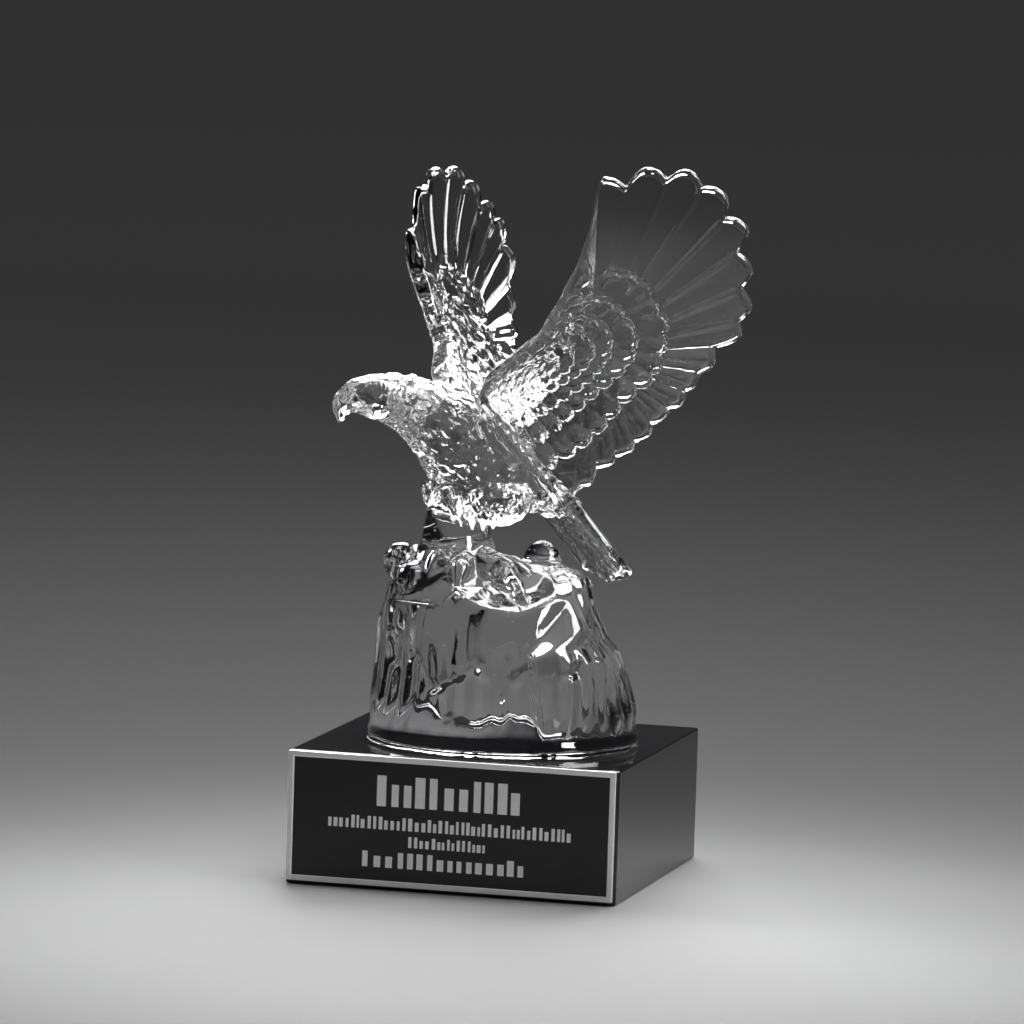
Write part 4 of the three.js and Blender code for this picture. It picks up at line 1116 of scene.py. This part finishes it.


# Painted light: the floor colour is a painted pool of light, bright round the award and dark further off, and
# its emission is a painted glow that lifts the far floor.
FLOOR_PAINTED_POOL = [
    (0, 0.12), (0.1, 0.115), (0.2, 0.066), (0.3, 0.02), (0.42, 0.006), (0.6, 0.0032), (0.8, 0.0026),
    (1.1, 0.003), (1.6, 0.005), (2.4, 0.008), (5, 0.01),
]
FLOOR_PAINTED_GLOW = [(0, 0), (0.9, 0.001), (1.4, 0.01), (1.9, 0.025), (2.6, 0.031), (3.6, 0.028), (5, 0.026)]
painted_floor_light(FLOOR_PAINTED_POOL, "Base Color")
painted_floor_light(FLOOR_PAINTED_GLOW, "Emission Color")
floor.data.materials.append(pale)

mesh = bmesh.new()
bmesh.ops.create_cone(mesh, cap_ends=False, segments=96, radius1=8.6, radius2=8.6, depth=14)
bmesh.ops.translate(mesh, verts=mesh.verts, vec=(0, 0, 5))
bmesh.ops.reverse_faces(mesh, faces=mesh.faces)
backdrop = finished("backdrop", mesh)
grey, nodes, links, shader = new_material("backdrop_with_painted_shade")
where = nodes.new("ShaderNodeTexCoord")
split = nodes.new("ShaderNodeSeparateXYZ")
links.new(where.outputs["Object"], split.inputs["Vector"])
# Painted light: the backdrop glows, lighter low down and painted darker upwards, and painted darker still
# towards the sides.
ramp = nodes.new("ShaderNodeValToRGB")
ramp.color_ramp.elements[0].color = (0.12, 0.12, 0.122, 1)
ramp.color_ramp.elements[1].color = (0.03, 0.03, 0.031, 1)
links.new(ranged(nodes, links, split.outputs["Z"], -0.4, 0.6, 0, 1), ramp.inputs["Fac"])
preset(shader, {"Base Color": (0, 0, 0, 1), "Roughness": 1})
preset(shader, {"Specular IOR Level": 0.0, "Emission Strength": 1.0})
seen = measured(nodes, links, where, "DOT_PRODUCT", FROM_CAMERA)
sides = nodes.new("ShaderNodeMix")
sides.data_type = "RGBA"
preset(sides, {"A": (0.012, 0.012, 0.012, 1)})
links.new(ranged(nodes, links, seen, 6.9, 8.3, 0, 1), sides.inputs["Factor"])
links.new(ramp.outputs["Color"], sides.inputs["B"])
links.new(sides.outputs["Result"], shader.inputs["Emission Color"])
backdrop.data.materials.append(grey)


def soft_box(name, place, target_height, width, depth, power):
    light = bpy.data.lights.new(name, "AREA")
    light.shape = "RECTANGLE"
    light.size, light.size_y = width, depth
    light.energy = power
    thing = bpy.data.objects.new(name, light)
    bpy.context.scene.collection.objects.link(thing)
    thing.location = place
    target = Vector((0, 0, target_height))
    thing.rotation_euler = (target - Vector(place)).to_track_quat("-Z", "Y").to_euler()


soft_box("top_box", (0.1, 0.15, 1.25), 0.12, 0.5, 0.4, 26)
soft_box("left_box", (-1.0, 0.15, 0.85), 0.14, 0.3, 0.3, 14)
soft_box("right_box", (0.82, 0.0, 0.95), 0.12, 0.62, 0.62, 20)
soft_box("low_box", (1.08, -0.38, 0.55), 0.12, 0.2, 0.4, 6)
soft_box("back_box", (-0.05, 1.0, 1.1), 0.15, 1.3, 0.7, 72)
soft_box("low_back_box", (-0.45, 1.35, 0.66), 0.15, 0.8, 0.14, 5.5)

world = bpy.data.worlds.new("room")
world.use_nodes = True
preset(world.node_tree.nodes["Background"], {"Color": (0.03, 0.03, 0.031, 1)})
bpy.context.scene.world = world
bpy.context.scene.view_settings.view_transform = "Standard"
